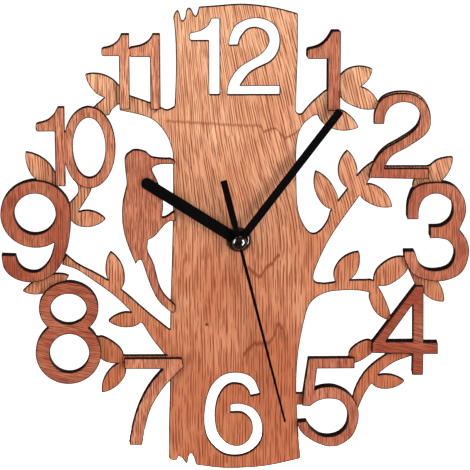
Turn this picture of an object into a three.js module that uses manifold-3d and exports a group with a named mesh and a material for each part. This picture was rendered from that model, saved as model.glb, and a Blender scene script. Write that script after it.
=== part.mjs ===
// A wall clock cut from thin board: a tree carries the numerals round a battery quartz movement.
// Millimetres, +Z up, the dial faces -Y. The wall is the plane y = 0 and the hands turn about the Y axis.
import * as THREE from 'three';
import { mergeVertices } from 'three/addons/utils/BufferGeometryUtils.js';
import Module from 'manifold-3d';

const wasm = await Module();
wasm.setup();

// Dial
const treeWidth = 280;              // over the numerals 9 and 3
const drawnWidth = 280;             // the same width in the outlines below
const board = 3;                    // thickness of each of the two board layers

// Plays
const fitGap = 0.2;                 // round pieces that are pressed or pushed on
const turnGap = 0.3;                // round and along pieces that turn
const slideGap = 0.3;               // round pieces that drop in

// Arbor: the shaft of the second hand turns in the minute tube, that one in the hour tube
const shaftRadius = 0.45;
const tubeWall = 0.6;
const tubeShoulder = 0.35;          // a tube's body stands this much proud of its seat for the hand
const neckWall = 0.8;

// Hands
const handThickness = 0.8;
const handRise = 1;                 // from the nut to the hour hand
const handGap = 1.2;                // from one hand to the next
const hubRadius = 5.2;
const hourHand = { length: 68.6, width: 6.9, tipRound: 3.45, angle: 303.1 };
const minuteHand = { length: 99.2, width: 4.8, tipRound: 1.4, angle: 37.1 };
const secondHand = {
  length: 116, root: 1.7, tip: 1, hub: 3.8, neck: 2.2, angle: 166.1,
  tailStart: 12.2, tail: 39, tailWidth: 3.95,
};
const cap = { radius: 4.4, rim: 0.6, height: 3.2 };

// Fixing of the movement
const rubber = { radius: 12, thickness: 0.8 };
const washer = { radius: 7.2, thickness: 0.5 };
const nut = { radius: 7.7, height: 2.5, rim: 0.9, shoulder: 1.7, shoulderInset: 0.7, faceInset: 2 };

// Movement
const caseWall = 1.2;
const caseTop = 28;                 // from the arbor to the top of the case
const caseCorner = 3;
const coverThickness = 1.5;
const eye = { width: 16, rise: 11, corner: 2.4, slotWidth: 9, slotHeight: 5.5, slotCorner: 1.5 };
const battery = { radius: 7.1, length: 49.5, chamfer: 0.45, nubRadius: 2.7, nub: 1, sink: 0.5 };
const contact = { thickness: 0.5, inset: 1.1, stud: 0.75, studHalf: 2 };
const knob = { radius: 5, height: 1.1, sink: 0.2, ribs: 20, groove: 0.35, slotDepth: 0.5, slotHalf: 0.4 };
const stator = {
  thickness: 0.8, ring: 4.4, margin: 1.8, right: -9.5, leg: 3.4, barRise: 2.4, bar: 3.5, top: 21,
};
const coil = { spool: 0.7, flangeWidth: 0.8 };
const circuit = { left: 4, rise: 1.5, thickness: 1, height: 7.6 };
const crystal = { radius: 1, length: 6, start: 8 };

// Gear train: the wheels lie in layers, each in front of the one before
const wheelRise = 1.6;              // from the ends of the pivots to the first wheel
const wheelThickness = 0.8;
const wheelGap = 0.6;
const plateThickness = 1;
const pinionPast = 0.2;             // a pinion runs this far past the wheel that it meets
const pivotRadius = 0.4;
const settingArborRadius = 0.7;
const magnet = { radius: 2.2, length: 1.6 };
const axisDistance = { intermediate: 9, rotor: 8, third: 9.2, setting: 9.6 };
const axisDegrees = { intermediate: 170, rotor: 150, third: 80, setting: -15 };
const teeth = {
  rotor: 5, intermediate: 30, intermediatePinion: 6, second: 30, secondPinion: 5, third: 40,
  thirdPinion: 6, centre: 45, minutePinion: 6, setting: 18, settingPinion: 6, hour: 24,
};
const addendum = 0.7;               // tooth heights above and below the pitch circle, in modules
const dedendum = 0.95;
const toothHalf = 0.36;             // half a tooth's foot, as a share of the pitch

// Steps on the round stretches of an outline
const curveSteps = 2;
const leafSteps = 4;
const ringSteps = 10;
const cornerSteps = 3;
const domeSteps = 5;
const roundSides = 24;
const tubeSides = 16;
const pinSides = 8;

const finishes = {
  panel: { color: 0xdb9468, roughness: 0.55 },
  numeral: { color: 0xb5644a, roughness: 0.5 },
  matt: { color: 0x111111, roughness: 0.5 },
  gloss: { color: 0x0a0a0a, roughness: 0.12 },
  rubber: { color: 0x232323, roughness: 0.85 },
  case: { color: 0x1b1b1d, roughness: 0.6 },
  steel: { color: 0xb9bcc0, roughness: 0.35, metalness: 0.9 },
  brass: { color: 0xc8a457, roughness: 0.35, metalness: 0.9 },
  copper: { color: 0xb06a3c, roughness: 0.4, metalness: 0.6 },
  gear: { color: 0xe9e6dc, roughness: 0.5 },
  circuit: { color: 0x2f6b45, roughness: 0.5 },
  cell: { color: 0x3d4a58, roughness: 0.35, metalness: 0.3 },
};

// Radii of the two tubes and of the threaded neck round them
const minuteTube = tubeRound(shaftRadius);
const hourTube = tubeRound(minuteTube.body);
const neckBore = hourTube.body + turnGap;
const neckRadius = neckBore + neckWall;

function tubeRound(inner) {
  const bore = inner + turnGap;
  const seat = bore + tubeWall;
  return { bore, seat, body: seat + tubeShoulder };
}

// Layers of the movement as [back, front]
const pivotBack = -(coverThickness + turnGap);
const intermediateLayer = layer(pivotBack, wheelRise, wheelThickness);
const secondLayer = layer(intermediateLayer[1], wheelGap, wheelThickness);
const thirdLayer = layer(secondLayer[1], wheelGap, wheelThickness);
const centreLayer = layer(thirdLayer[1], wheelGap, wheelThickness);
const plateLayer = layer(centreLayer[1], wheelGap, plateThickness);
const settingLayer = layer(plateLayer[1], wheelGap, wheelThickness);
const hourLayer = layer(settingLayer[1], wheelGap, wheelThickness);
const pivotFront = plateLayer[1] + turnGap;

function layer(behind, gap, thickness) {
  return [behind - gap, behind - gap - thickness];
}

// The case is as deep as the deeper of its two rooms.
const trainDepth = pinionPast + turnGap + caseWall - hourLayer[1];
const bayDepth = battery.sink + 2 * battery.radius + slideGap + caseWall;
const caseDepth = Math.max(trainDepth, bayDepth);
const roomFront = caseWall - caseDepth;

// From the case to the cap
const panelBack = -(caseDepth + rubber.thickness);
const panelFront = panelBack - board;
const numeralFront = panelFront - board;
const washerFront = panelFront - washer.thickness;
const nutFront = washerFront - nut.height;
const neckFront = nutFront - turnGap;
const hourBack = nutFront - handRise;
const hourFront = hourBack - handThickness;
const minuteBack = hourFront - handGap;
const minuteFront = minuteBack - handThickness;
const secondBack = minuteFront - handGap;
const secondFront = secondBack - handThickness;
const beyond = secondFront - cap.height;      // in front of everything, where a through cut may end

// Axes of the train
const arbor = { x: 0, z: 0 };
const intermediateAxis = axisFrom(arbor, 'intermediate');
const rotorAxis = axisFrom(intermediateAxis, 'rotor');
const thirdAxis = axisFrom(arbor, 'third');
const settingAxis = axisFrom(arbor, 'setting');

function axisFrom({ x, z }, name) {
  const turn = THREE.MathUtils.degToRad(axisDegrees[name]);
  return { x: x + axisDistance[name] * Math.cos(turn), z: z + axisDistance[name] * Math.sin(turn) };
}

function moduleOf(count, mateCount, axis, mateAxis) {
  return (2 * Math.hypot(mateAxis.x - axis.x, mateAxis.z - axis.z)) / (count + mateCount);
}

// The battery bay lies under the train, whose lowest point is the setting wheel's.
const settingModule = moduleOf(teeth.setting, teeth.minutePinion, settingAxis, arbor);
const trainFloor = settingAxis.z - settingModule * (teeth.setting / 2 + addendum) - turnGap;
const bayTop = trainFloor - caseWall;
const batteryY = -(battery.sink + battery.radius);
const batteryZ = bayTop - slideGap - battery.radius;
const bayFloor = batteryZ - battery.radius - slideGap;
const caseBottom = bayFloor - caseWall;
const cellHalf = (battery.length + battery.nub) / 2;
const inside = cellHalf + slideGap + contact.stud + contact.thickness;
const caseHalf = inside + caseWall;
const roomTop = caseTop - caseWall;

const clock = new THREE.Group();

// Adds one sub-part with a material of its own.
function addPart(name, body, finish) {
  const geometry = body.isBufferGeometry ? body : geometryOf(body);
  const mesh = new THREE.Mesh(geometry, new THREE.MeshStandardMaterial(finish));
  mesh.name = name;
  clock.add(mesh);
}

// Solids, joins and cuts

function solidOf(geometry) {
  const bare = geometry.clone();
  bare.deleteAttribute('normal');
  bare.deleteAttribute('uv');
  const merged = mergeVertices(bare);
  return new wasm.Manifold(new wasm.Mesh({
    numProp: 3,
    vertProperties: new Float32Array(merged.getAttribute('position').array),
    triVerts: new Uint32Array(merged.getIndex().array),
  }));
}

function geometryOf(solid) {
  const mesh = solid.getMesh();
  const geometry = new THREE.BufferGeometry();
  geometry.setAttribute('position', new THREE.BufferAttribute(new Float32Array(mesh.vertProperties), 3));
  geometry.setIndex(new THREE.BufferAttribute(new Uint32Array(mesh.triVerts), 1));
  geometry.computeVertexNormals();
  return geometry;
}

function join(...solids) {
  return solids.reduce((whole, next) => whole.add(next));
}

function cut(solid, ...tools) {
  return tools.reduce((rest, tool) => rest.subtract(tool), solid);
}

// A flat outline, drawn as it is seen from the front, made into a plate from y = back to y = front.
function plate(shape, back, front, curveSegments = curveSteps) {
  const depth = back - front;
  const geometry = new THREE.ExtrudeGeometry(shape, { depth, bevelEnabled: false, curveSegments });
  geometry.applyMatrix4(new THREE.Matrix4().set(1, 0, 0, 0, 0, 0, -1, back, 0, 1, 0, 0, 0, 0, 0, 1));
  return solidOf(geometry);
}

// A profile of [radius, y] corners turned about the arbor.
function turned(profile) {
  const points = profile.map(([radius, y]) => new THREE.Vector2(radius, -y));
  const geometry = new THREE.LatheGeometry(points, roundSides);
  geometry.applyMatrix4(new THREE.Matrix4().set(1, 0, 0, 0, 0, -1, 0, 0, 0, 0, -1, 0, 0, 0, 0, 1));
  return geometry;
}

// A profile of [radius, x] corners turned about a line along X through (y, z).
function turnedAlongX(profile, y, z) {
  const points = profile.map(([radius, x]) => new THREE.Vector2(radius, x));
  const geometry = new THREE.LatheGeometry(points, tubeSides);
  geometry.rotateZ(-Math.PI / 2);
  geometry.translate(0, y, z);
  return geometry;
}

function ring(outer, inner, back, front) {
  return turned([[inner, back], [outer, back], [outer, front], [inner, front], [inner, back]]);
}

function disc(radius, back, front, { x, z } = arbor, sides = roundSides) {
  return plate(ellipse(radius, radius, x, z), back, front, sides / 2);
}

function box(x0, x1, y0, y1, z0, z1) {
  const geometry = new THREE.BoxGeometry(x1 - x0, y1 - y0, z1 - z0);
  geometry.translate((x0 + x1) / 2, (y0 + y1) / 2, (z0 + z1) / 2);
  return solidOf(geometry);
}

// Outlines: a stretch is one corner [x, z], or a list of points that a smooth curve runs through.
function outline(start, ...stretches) {
  const shape = new THREE.Shape();
  shape.moveTo(...start);
  for (const stretch of stretches) {
    if (Array.isArray(stretch[0])) {
      shape.splineThru(stretch.map(([x, z]) => new THREE.Vector2(x, z)));
    } else {
      shape.lineTo(...stretch);
    }
  }
  return shape;
}

function ellipse(radiusX, radiusZ, x, z) {
  const shape = new THREE.Shape();
  shape.absellipse(x, z, radiusX, radiusZ, 0, Math.PI * 2, false, 0);
  return shape;
}

function roundedRectangle(x0, x1, z0, z1, radius) {
  const shape = new THREE.Shape();
  shape.moveTo(x0 + radius, z0);
  shape.lineTo(x1 - radius, z0);
  shape.absarc(x1 - radius, z0 + radius, radius, -Math.PI / 2, 0);
  shape.lineTo(x1, z1 - radius);
  shape.absarc(x1 - radius, z1 - radius, radius, 0, Math.PI / 2);
  shape.lineTo(x0 + radius, z1);
  shape.absarc(x0 + radius, z1 - radius, radius, Math.PI / 2, Math.PI);
  shape.lineTo(x0, z0 + radius);
  shape.absarc(x0 + radius, z0 + radius, radius, Math.PI, Math.PI * 1.5);
  return shape;
}

// A leaf from its foot to its tip. The swells are its greatest widths to either side of that line.
function leaf(foot, tip, leftSwell, rightSwell) {
  const [dx, dz] = [tip[0] - foot[0], tip[1] - foot[1]];
  const length = Math.hypot(dx, dz);
  const [nx, nz] = [-dz / length, dx / length];
  const at = (along, aside) => [foot[0] + dx * along + nx * aside, foot[1] + dz * along + nz * aside];
  const [blunt, low, high, pull] = [0.35, 0.2, 0.72, 1.34];
  const shape = new THREE.Shape();
  shape.moveTo(...at(0, -blunt));
  shape.bezierCurveTo(...at(low, -rightSwell * pull), ...at(high, -rightSwell * pull), ...at(1, -blunt));
  shape.lineTo(...at(1, blunt));
  shape.bezierCurveTo(...at(high, leftSwell * pull), ...at(low, leftSwell * pull), ...at(0, blunt));
  return shape;
}

// A numeral one: a stem with a flag that curves down from the left of its top.
// stem, reach and head are widths; top, bottom, flagTop and flagBottom are heights on the dial.
function one({ right, stem, reach, head, top, bottom, flagTop, flagBottom }) {
  const left = right - stem;
  const end = left - reach;
  const rise = top - flagTop;
  const lip = 0.9;
  const flagAt = (across, up) => [left - reach * across, flagTop + rise * up];
  return outline(
    [left, bottom], [right, bottom], [right, top - lip], [right - lip / 2, top], [right - head, top],
    [flagAt(0.05, 0.52), flagAt(0.42, 0.17), [end + lip, flagTop]],
    [end, flagTop - lip], [end, flagBottom + lip], [end + lip, flagBottom], [left, flagBottom],
  );
}

// Numerals and bird: each has its pieces, an outline and its windows, and the slip of the glued
// layer against its own shape in the panel behind it.
const layered = {
  numeral_1: {
    slip: [0.4, -0.2],
    pieces: [
      [one({
        right: 60, stem: 7.6, reach: 12.2, head: 5.2,
        top: 125.9, bottom: 78.2, flagTop: 115.3, flagBottom: 109.3,
      })],
    ],
  },
  numeral_2: {
    slip: [-0.3, -0.9],
    pieces: [[outline(
      [79.9, 70.1],
      [[80.4, 76.8], [84, 84.4], [91.7, 88], [102.6, 87.7], [110.4, 82.6], [114, 72.8], [111.8, 64.4],
        [101.5, 56.5], [91.1, 50.6], [86.7, 43.1]],
      [113.4, 42.9], [113.7, 36.2], [77.3, 37.4],
      [[79.6, 45.4], [86, 54.3], [97.2, 61], [105.4, 67.7], [107.4, 75.8], [103.5, 81.5], [96.8, 83.1],
        [90.6, 80.9], [87.1, 75.9], [86.2, 70.1]],
    )]],
  },
  numeral_3: {
    slip: [0.3, -0.9],
    pieces: [[outline(
      [100.9, 11.8],
      [[101.4, 22.9], [106, 31.8], [117.9, 34.3], [128.2, 32.4], [134.7, 24.9], [136.2, 15],
        [132.4, 4.9]],
      [[137.2, -1.4], [138.6, -10.6], [134, -22], [121.1, -26.9], [106.2, -23.1], [100.2, -14],
        [99.4, -7.8]],
      [105.9, -7.8],
      [[108.8, -15.5], [113.5, -19.4], [120.5, -20], [127.4, -17.2], [130.1, -9.1], [126.1, -1.9],
        [121, -0.2]],
      [114.8, -0.1], [114.7, 7.2],
      [[122.2, 7.8], [127.6, 13.2], [127.4, 22.1], [119, 27.4], [111.2, 24.8], [108, 18.1],
        [107.8, 11.8]],
    )]],
  },
  numeral_4: {
    slip: [0, -0.8],
    pieces: [[
      outline(
        [106.7, -29.6], [111.6, -29.7], [112.2, -65.2], [121, -65.3], [121.2, -72.6], [112.3, -72.4],
        [112.3, -85.7], [105.6, -85.7], [105.7, -72.2], [81.1, -71.4], [80.9, -65.2],
      ),
      [outline(
        [105.3, -41], [89.1, -64.4], [105.7, -64.5],
      )],
    ]],
  },
  numeral_5: {
    slip: [0.2, -0.3],
    pieces: [[outline(
      [42.4, -74], [70.4, -74.2], [70.5, -81], [47.6, -80.8], [46.3, -94.2],
      [[51, -92.6], [58.5, -92.6], [66.5, -96.5], [72.2, -104.2], [73.2, -114], [69.4, -124.3],
        [61.5, -130.3], [53.4, -130.6], [44, -126.4], [37.6, -120.3], [35.7, -114.8]],
      [41.5, -114.3],
      [[44.6, -119.3], [51, -123.9], [59.4, -123.7], [65.4, -118.6], [66.6, -109.9], [62.4, -102],
        [54.8, -100], [47.8, -101.6], [43.6, -104.7]],
      [38.6, -104.3], [39.3, -96],
    )]],
  },
  numeral_7: {
    slip: [0.2, -1.1],
    pieces: [[outline(
      [-69.4, -72.9], [-34.6, -73.2], [-33.4, -78.6],
      [[-38.6, -84], [-46.4, -92.6], [-53.4, -104.4], [-56.8, -116], [-58.9, -128.2]],
      [-67, -128],
      [[-64.9, -116.5], [-60.8, -102.9], [-54.2, -90], [-45.8, -79.8]],
      [-69.3, -79.4],
    )]],
  },
  numeral_8: {
    slip: [0, -0.3],
    pieces: [
      [ellipse(17.9, 16.6, -102.3, -41.1), [ellipse(10.7, 9.4, -102.4, -41.4)]],
      [ellipse(19.8, 19.7, -102.9, -68.8), [ellipse(11.8, 12.1, -102.3, -69.2)]],
    ],
  },
  numeral_9: {
    slip: [0, -0.5],
    pieces: [
      [ellipse(21, 20.5, -120.9, 17.2), [ellipse(12.2, 12.4, -121.3, 17.4)]],
      [outline(
        [-99.9, 17.6],
        [[-100.4, 6.7], [-102.8, -5.5], [-108.1, -16.6], [-115.9, -22.8], [-125.1, -24.6], [-134.3, -22.1],
          [-140.3, -16.1], [-141.8, -7.5]],
        [-133.2, -7.9],
        [[-131.2, -13.8], [-126.3, -17.6], [-119.9, -17.8], [-114.3, -12.9], [-111.3, -5.8], [-109.8, 2.2]],
        [-108.3, 14.2],
      )],
    ],
  },
  numeral_10: {
    slip: [0, -0.2],
    pieces: [
      [one({
        right: -102.8, stem: 6, reach: 11.1, head: 4,
        top: 81.8, bottom: 34.1, flagTop: 72.2, flagBottom: 67.3,
      })],
      [ellipse(15.6, 24.6, -88.5, 57.3), [ellipse(9.6, 18.1, -88.6, 57.2)]],
    ],
  },
  numeral_11: {
    slip: [0, -0.3],
    pieces: [
      [one({
        right: -64.2, stem: 6.2, reach: 10.2, head: 4.8,
        top: 124.8, bottom: 80.1, flagTop: 116.6, flagBottom: 111.9,
      })],
      [one({
        right: -46.1, stem: 6.1, reach: 12.1, head: 4.4,
        top: 124.7, bottom: 79.9, flagTop: 116.9, flagBottom: 111.2,
      })],
    ],
  },
  woodpecker: {
    slip: [0.2, -0.3],
    pieces: [[outline(
      [-66.4, 52.9],
      [[-61.8, 55.8], [-55.4, 54.6], [-51.6, 51.5], [-44.9, 50.4], [-40.1, 50.2], [-37.5, 47.9]],
      [-38.3, 46.9],
      [[-45.6, 47], [-50.2, 45.6], [-51.4, 43], [-48, 35.6], [-45.6, 27.7], [-45.1, 20.7]],
      [-45.8, 14.4],
      [[-42.8, 15.2], [-38.2, 18.6]],
      [-37.6, 12.4],
      [[-41.2, 12.1], [-44.6, 9.7], [-50.2, 3.1], [-54.2, 0.9]],
      [[-54.5, -6.3], [-50.9, -14.3], [-48, -26.3], [-44.3, -33.6], [-38.1, -39.9]],
      [-38, -41.6], [-39, -44.6],
      [[-41.8, -43.4], [-48.4, -36.9], [-53.2, -27.2], [-57.4, -14.1], [-58.8, -11.3]],
      [-60.6, -11.9], [-61.8, -14.1],
      [[-66, -3.6], [-69.2, 8.7], [-69.1, 23.7], [-66.6, 34.2], [-67.4, 43.7], [-67.6, 49.7]],
    )]],
  },
};

// A plate of a layered figure, in steps fine enough for its kind of outline.
function figurePlate(shape, back, front) {
  return plate(shape, back, front, shape.curves[0].isEllipseCurve ? ringSteps : curveSteps);
}

// Joins the pieces of a layered figure and cuts its windows through them all.
function figure({ pieces }, back, front) {
  const bodies = pieces.map(([shape]) => figurePlate(shape, back, front));
  const windows = pieces.flatMap(([, shapes = []]) => shapes.map((shape) => figurePlate(shape, 0, beyond)));
  return cut(join(...bodies), ...windows);
}

// Brings a body made from the outlines to the tree's width.
function toTreeWidth(body) {
  const share = treeWidth / drawnWidth;
  return body.scale([share, 1, share]);
}

// The tree panel

function trunkOutline() {
  return outline(
    [-43, -137.4],
    [[-42.6, -118], [-41.7, -90], [-41.3, -45], [-39.6, 0], [-39, 46], [-40.2, 57.4], [-44.2, 66.2],
      [-50.4, 73], [-58.6, 76.4], [-70.3, 79]],
    [-68.5, 90], [-64, 87.7], [-53.2, 83.8],
    [[-46.4, 80.8], [-42.3, 79.1], [-37.9, 81]],
    [[-37, 100], [-37.1, 120], [-38.2, 134.4]],
    [[-37.2, 136.8], [-35.5, 138], [-34.3, 135.2]],
    [[-33.6, 132.6], [-32.5, 132], [-31.3, 134]],
    [[-30.6, 138], [-29.2, 139.5], [-27.6, 138.6]],
    [[-26.2, 135.6], [-24.8, 134.9], [-23.2, 140]],
    [[-12.6, 140.7], [0.5, 141.6], [12.9, 140.7], [24.1, 138.7], [34.8, 135.7]],
    [34.8, 112], [33.8, 78],
    [[35.3, 76], [37.6, 76.1]],
    [[43.2, 82.8], [51.6, 90.3]],
    [56, 84], [50, 76], [44.4, 74.7],
    [[39.2, 70.6], [35.6, 64], [34.3, 54], [34.5, 38], [35, 22.6], [37, 13], [41, 5.4], [45, 2.9],
      [49.4, 5.3], [53.2, 10.9], [54.8, 16.2]],
    [60.6, 24.4],
    [[66, 31.6], [73.2, 41.3], [79.8, 46.7]],
    [88, 44], [79, 37], [77, 33.9],
    [[72.3, 25.8], [62.1, 11.2], [54.7, -0.4], [49, -12], [45.4, -22], [46.2, -27], [52, -28.2]],
    [[67.4, -26.3], [80.2, -26.2]],
    [86, -29.3], [79.8, -34.4],
    [[73, -32.8], [62.4, -32.6], [52, -34.2], [43.4, -40.4], [39.4, -53], [36.2, -72], [35.2, -91.4],
      [35.9, -110], [37, -126], [38, -137]],
    [37.9, -139.3],
    [[22.1, -142.9], [10.8, -144.4], [-0.9, -144.9], [-11.8, -144.6], [-26.1, -142.4]],
    [[-27.8, -136.9], [-29.3, -135], [-30.6, -137]],
    [-31.3, -141.3], [-32.2, -141.2],
    [[-35, -137.7], [-36.9, -136.8]],
    [-37.9, -139.4], [-41.2, -138.9],
  );
}

const branches = [
  // Under the 11, down to the 0
  outline(
    [-69, 92], [-79.7, 86.4],
    [[-82.4, 83.9], [-86.2, 81.2]],
    [-84, 76], [-76.4, 76.1],
    [[-74.6, 79.6], [-71.1, 82.5]],
    [-68, 83],
  ),
  // Between the 0 and the 9
  outline(
    [-99, 38],
    [[-95.9, 34], [-96.2, 28.4], [-101.6, 23]],
    [-103, 16], [-98, 13], [-94.8, 19.1],
    [[-91.4, 24.4], [-88.3, 29.6], [-86.4, 36]],
  ),
  // From the 9 to the trunk
  outline(
    [-103.4, -8.2],
    [[-95.8, -14.7], [-82.9, -21.7], [-69.6, -31.2], [-56, -43.8], [-43.1, -54.8]],
    [-39, -58], [-39, -74], [-45.5, -70.8],
    [[-52.6, -61.2], [-57.8, -52.4]],
    [-64.3, -45.2],
    [[-73.6, -35.3], [-86.5, -25.3], [-97, -17.8], [-106, -14.6]],
  ),
  // From the 5 to the 4
  outline(
    [69.6, -101],
    [[71.3, -94.3], [76.2, -85.2], [82.7, -78.4], [91, -72.6]],
    [106, -71], [105.8, -74.2],
    [[95, -78.2], [86.8, -84.1]],
    [80.1, -93.1],
    [[76.6, -99], [73.4, -107]],
    [68, -108],
  ),
  // From the 3 to the 4
  outline(
    [101.6, -18],
    [[103.4, -22.2], [106.4, -29]],
    [108, -33], [113, -33], [111, -20],
  ),
  // Between the trunk and the 5
  outline(
    [33, -97.2], [40, -97.2], [40, -104.6], [33, -104.6],
  ),
];

const leaves = [
  leaf([57, 90.5], [79, 102.5], 7.2, 6.4),
  leaf([57, 91.5], [85, 79.2], 6.7, 5.7),
  leaf([46, 77], [71.1, 67.7], 6.1, 6),
  leaf([58.4, 16.6], [46, 41.2], 6, 5.2),
  leaf([66.6, 29.6], [64.7, 53.6], 6.3, 5.2),
  leaf([70.5, 31.2], [92, 19], 6.5, 4.8),
  leaf([59, -29.4], [72.4, -8.6], 6.8, 6),
  leaf([81, -30], [105, -12.2], 7.6, 6),
  leaf([82, -28], [93, -52.5], 1.8, 7.2),
  leaf([103.6, 27.5], [127.9, 49], 6.6, 7.2),
  leaf([110, -22], [124.4, -40.3], 4.8, 6.4),
  leaf([66, -79], [87, -64.7], 6.9, 3.2),
  leaf([79.4, -89.6], [101.2, -90.4], 4, 5.2),
  leaf([-71.8, -32], [-76.7, -7.1], 5.5, 5.4),
  leaf([-57, -49], [-78.5, -50], 4.6, 4.8),
  leaf([-68, 86.5], [-90.1, 100.6], 6.2, 6.1),
  leaf([-107.5, 33.5], [-126.1, 54.4], 6.8, 5.5),
  leaf([-101, 13.6], [-79.6, 13.2], 5.2, 5),
  leaf([-102, -21.6], [-129.5, -30.8], 6, 4.6),
  leaf([-68.5, -75.5], [-91.3, -58.7], 7.3, 5.4),
  leaf([-68.6, -76], [-83, -94.9], 5.2, 4.8),
];

function cutTwelve() {
  return [
    one({
      right: -11.3, stem: 6, reach: 11.4, head: 4.4,
      top: 133.2, bottom: 88, flagTop: 124.6, flagBottom: 120.3,
    }),
    outline(
      [-5.7, 117.4],
      [[-4.6, 123.5], [-0.4, 129.9], [10.1, 133.3], [20.7, 129.3], [24.1, 118.7], [19.7, 108.5],
        [7.3, 101.8], [0.4, 93]],
      [24.2, 92.9], [24.2, 87.7], [-6.7, 87.9],
      [[-5.2, 95.6], [1, 104.3], [13.5, 112], [18.2, 119.9], [14.8, 126.3], [6.6, 127.6], [1.2, 122.6],
        [-0.6, 117.4]],
    ),
  ];
}

function cutSix() {
  return outline(
    [13, -97.5],
    [[8.5, -87.4], [-0.4, -83.8], [-10.3, -85.7], [-17.9, -95], [-20.9, -112.3], [-18, -126.5],
      [-8.1, -135.8], [4.5, -135.7], [13.1, -128], [14.2, -116.6], [9.4, -107.1], [0.9, -103.6],
      [-4.9, -104.1]],
    [-4.8, -109],
    [[2.7, -109.4], [8.3, -115.6], [7.7, -124.6], [1.8, -130.4], [-6.3, -129.4], [-12.6, -122.4],
      [-14.6, -111], [-12.5, -98.9], [-6.3, -91.2], [1.7, -91.1], [6.3, -95.3], [7.4, -98.6]],
  );
}

function treePanel() {
  const grown = [trunkOutline(), ...branches].map((shape) => plate(shape, panelBack, panelFront));
  const leafPlates = leaves.map((shape) => plate(shape, panelBack, panelFront, leafSteps));
  const figures = Object.values(layered).map((piece) => {
    const [slipX, slipZ] = piece.slip;
    return figure(piece, panelBack, panelFront).translate([-slipX, 0, -slipZ]);
  });
  const numbers = [...cutTwelve(), cutSix()].map((shape) => plate(shape, 0, numeralFront));
  const tree = cut(join(...grown, ...leafPlates, ...figures), ...numbers);
  return cut(toTreeWidth(tree), disc(neckRadius + slideGap, 0, numeralFront));
}

addPart('tree_panel', treePanel(), finishes.panel);
for (const [name, piece] of Object.entries(layered)) {
  addPart(name, toTreeWidth(figure(piece, panelFront, numeralFront)), finishes.numeral);
}

// Hands: each is drawn pointing at twelve and turned clockwise to its angle

function turnTo(angle, body) {
  return geometryOf(body).rotateY(THREE.MathUtils.degToRad(angle));
}

function barHand({ length, width, tipRound, angle }, back, front, seat) {
  const half = width / 2;
  const bar = new THREE.Shape();
  bar.moveTo(-half, 0);
  bar.lineTo(half, 0);
  bar.lineTo(half, length - tipRound);
  bar.absarc(half - tipRound, length - tipRound, tipRound, 0, Math.PI / 2);
  bar.absarc(-half + tipRound, length - tipRound, tipRound, Math.PI / 2, Math.PI);
  const hand = join(plate(bar, back, front, domeSteps), disc(hubRadius, back, front));
  return turnTo(angle, cut(hand, disc(seat + fitGap, 0, beyond)));
}

function sweepHand({ length, root, tip, hub, neck, tailStart, tail, tailWidth, angle }) {
  const rightEdge = [
    [tip / 2, length], [root / 2, 0], [neck / 2, -hub], [tailWidth / 2, -tailStart], [tailWidth / 2, -tail],
  ];
  const leftEdge = rightEdge.map(([x, z]) => [-x, z]).reverse();
  const hand = join(
    plate(outline(...rightEdge, ...leftEdge), secondBack, secondFront),
    disc(hub, secondBack, secondFront),
  );
  return turnTo(angle, cut(hand, disc(shaftRadius + fitGap, 0, beyond, arbor, tubeSides)));
}

function handCap() {
  const profile = [[0, secondFront], [cap.radius, secondFront]];
  for (let step = 0; step < domeSteps; step += 1) {
    const turn = (step / domeSteps) * (Math.PI / 2);
    const rise = cap.rim + (cap.height - cap.rim) * Math.sin(turn);
    profile.push([cap.radius * Math.cos(turn), secondFront - rise]);
  }
  profile.push([0, secondFront - cap.height]);
  return turned(profile);
}

addPart('hour_hand', barHand(hourHand, hourBack, hourFront, hourTube.seat), finishes.matt);
addPart('minute_hand', barHand(minuteHand, minuteBack, minuteFront, minuteTube.seat), finishes.matt);
addPart('second_hand', sweepHand(secondHand), finishes.matt);
addPart('second_hand_cap', handCap(), finishes.gloss);

// Fixing of the movement

function fixingNut() {
  const bore = neckRadius + fitGap;
  return turned([
    [bore, washerFront], [nut.radius, washerFront], [nut.radius, washerFront - nut.rim],
    [nut.radius - nut.shoulderInset, washerFront - nut.shoulder], [nut.radius - nut.faceInset, nutFront],
    [bore, nutFront], [bore, washerFront],
  ]);
}

addPart('dial_washer', ring(washer.radius, neckRadius + fitGap, panelFront, washerFront), finishes.steel);
addPart('fixing_nut', fixingNut(), finishes.gloss);
addPart('rubber_washer', ring(rubber.radius, neckRadius + fitGap, -caseDepth, panelBack), finishes.rubber);

// Gear train

// One toothed piece of a pair. The driver has a tooth on the line between the axes, its mate a gap.
function toothed(count, mateCount, axis, mateAxis, [back, front], drives) {
  const toMate = Math.atan2(mateAxis.z - axis.z, mateAxis.x - axis.x);
  const module = moduleOf(count, mateCount, axis, mateAxis);
  const pitch = (2 * Math.PI) / count;
  const first = toMate + (drives ? 0 : pitch / 2);
  const root = module * (count / 2 - dedendum);
  const tip = module * (count / 2 + addendum);
  const points = [];
  for (let tooth = 0; tooth < count; tooth += 1) {
    for (const [radius, share] of [[root, -toothHalf], [tip, 0], [root, toothHalf]]) {
      const angle = first + (tooth + share) * pitch;
      points.push(new THREE.Vector2(axis.x + radius * Math.cos(angle), axis.z + radius * Math.sin(angle)));
    }
  }
  return plate(new THREE.Shape(points), back, front);
}

function driver(name, mate, axis, mateAxis, height) {
  return toothed(teeth[name], teeth[mate], axis, mateAxis, height, true);
}

function driven(name, mate, axis, mateAxis, height) {
  return toothed(teeth[name], teeth[mate], axis, mateAxis, height, false);
}

// The height of a pinion that starts at the front of its own wheel and meets another.
function pinionHeight(own, met) {
  return [own[1], met[1] - pinionPast];
}

// The height of a pinion that has no wheel behind it.
function alone(met) {
  return [met[0] + pinionPast, met[1] - pinionPast];
}

function pivot(axis) {
  return disc(pivotRadius, pivotBack, pivotFront, axis, pinSides);
}

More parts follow.
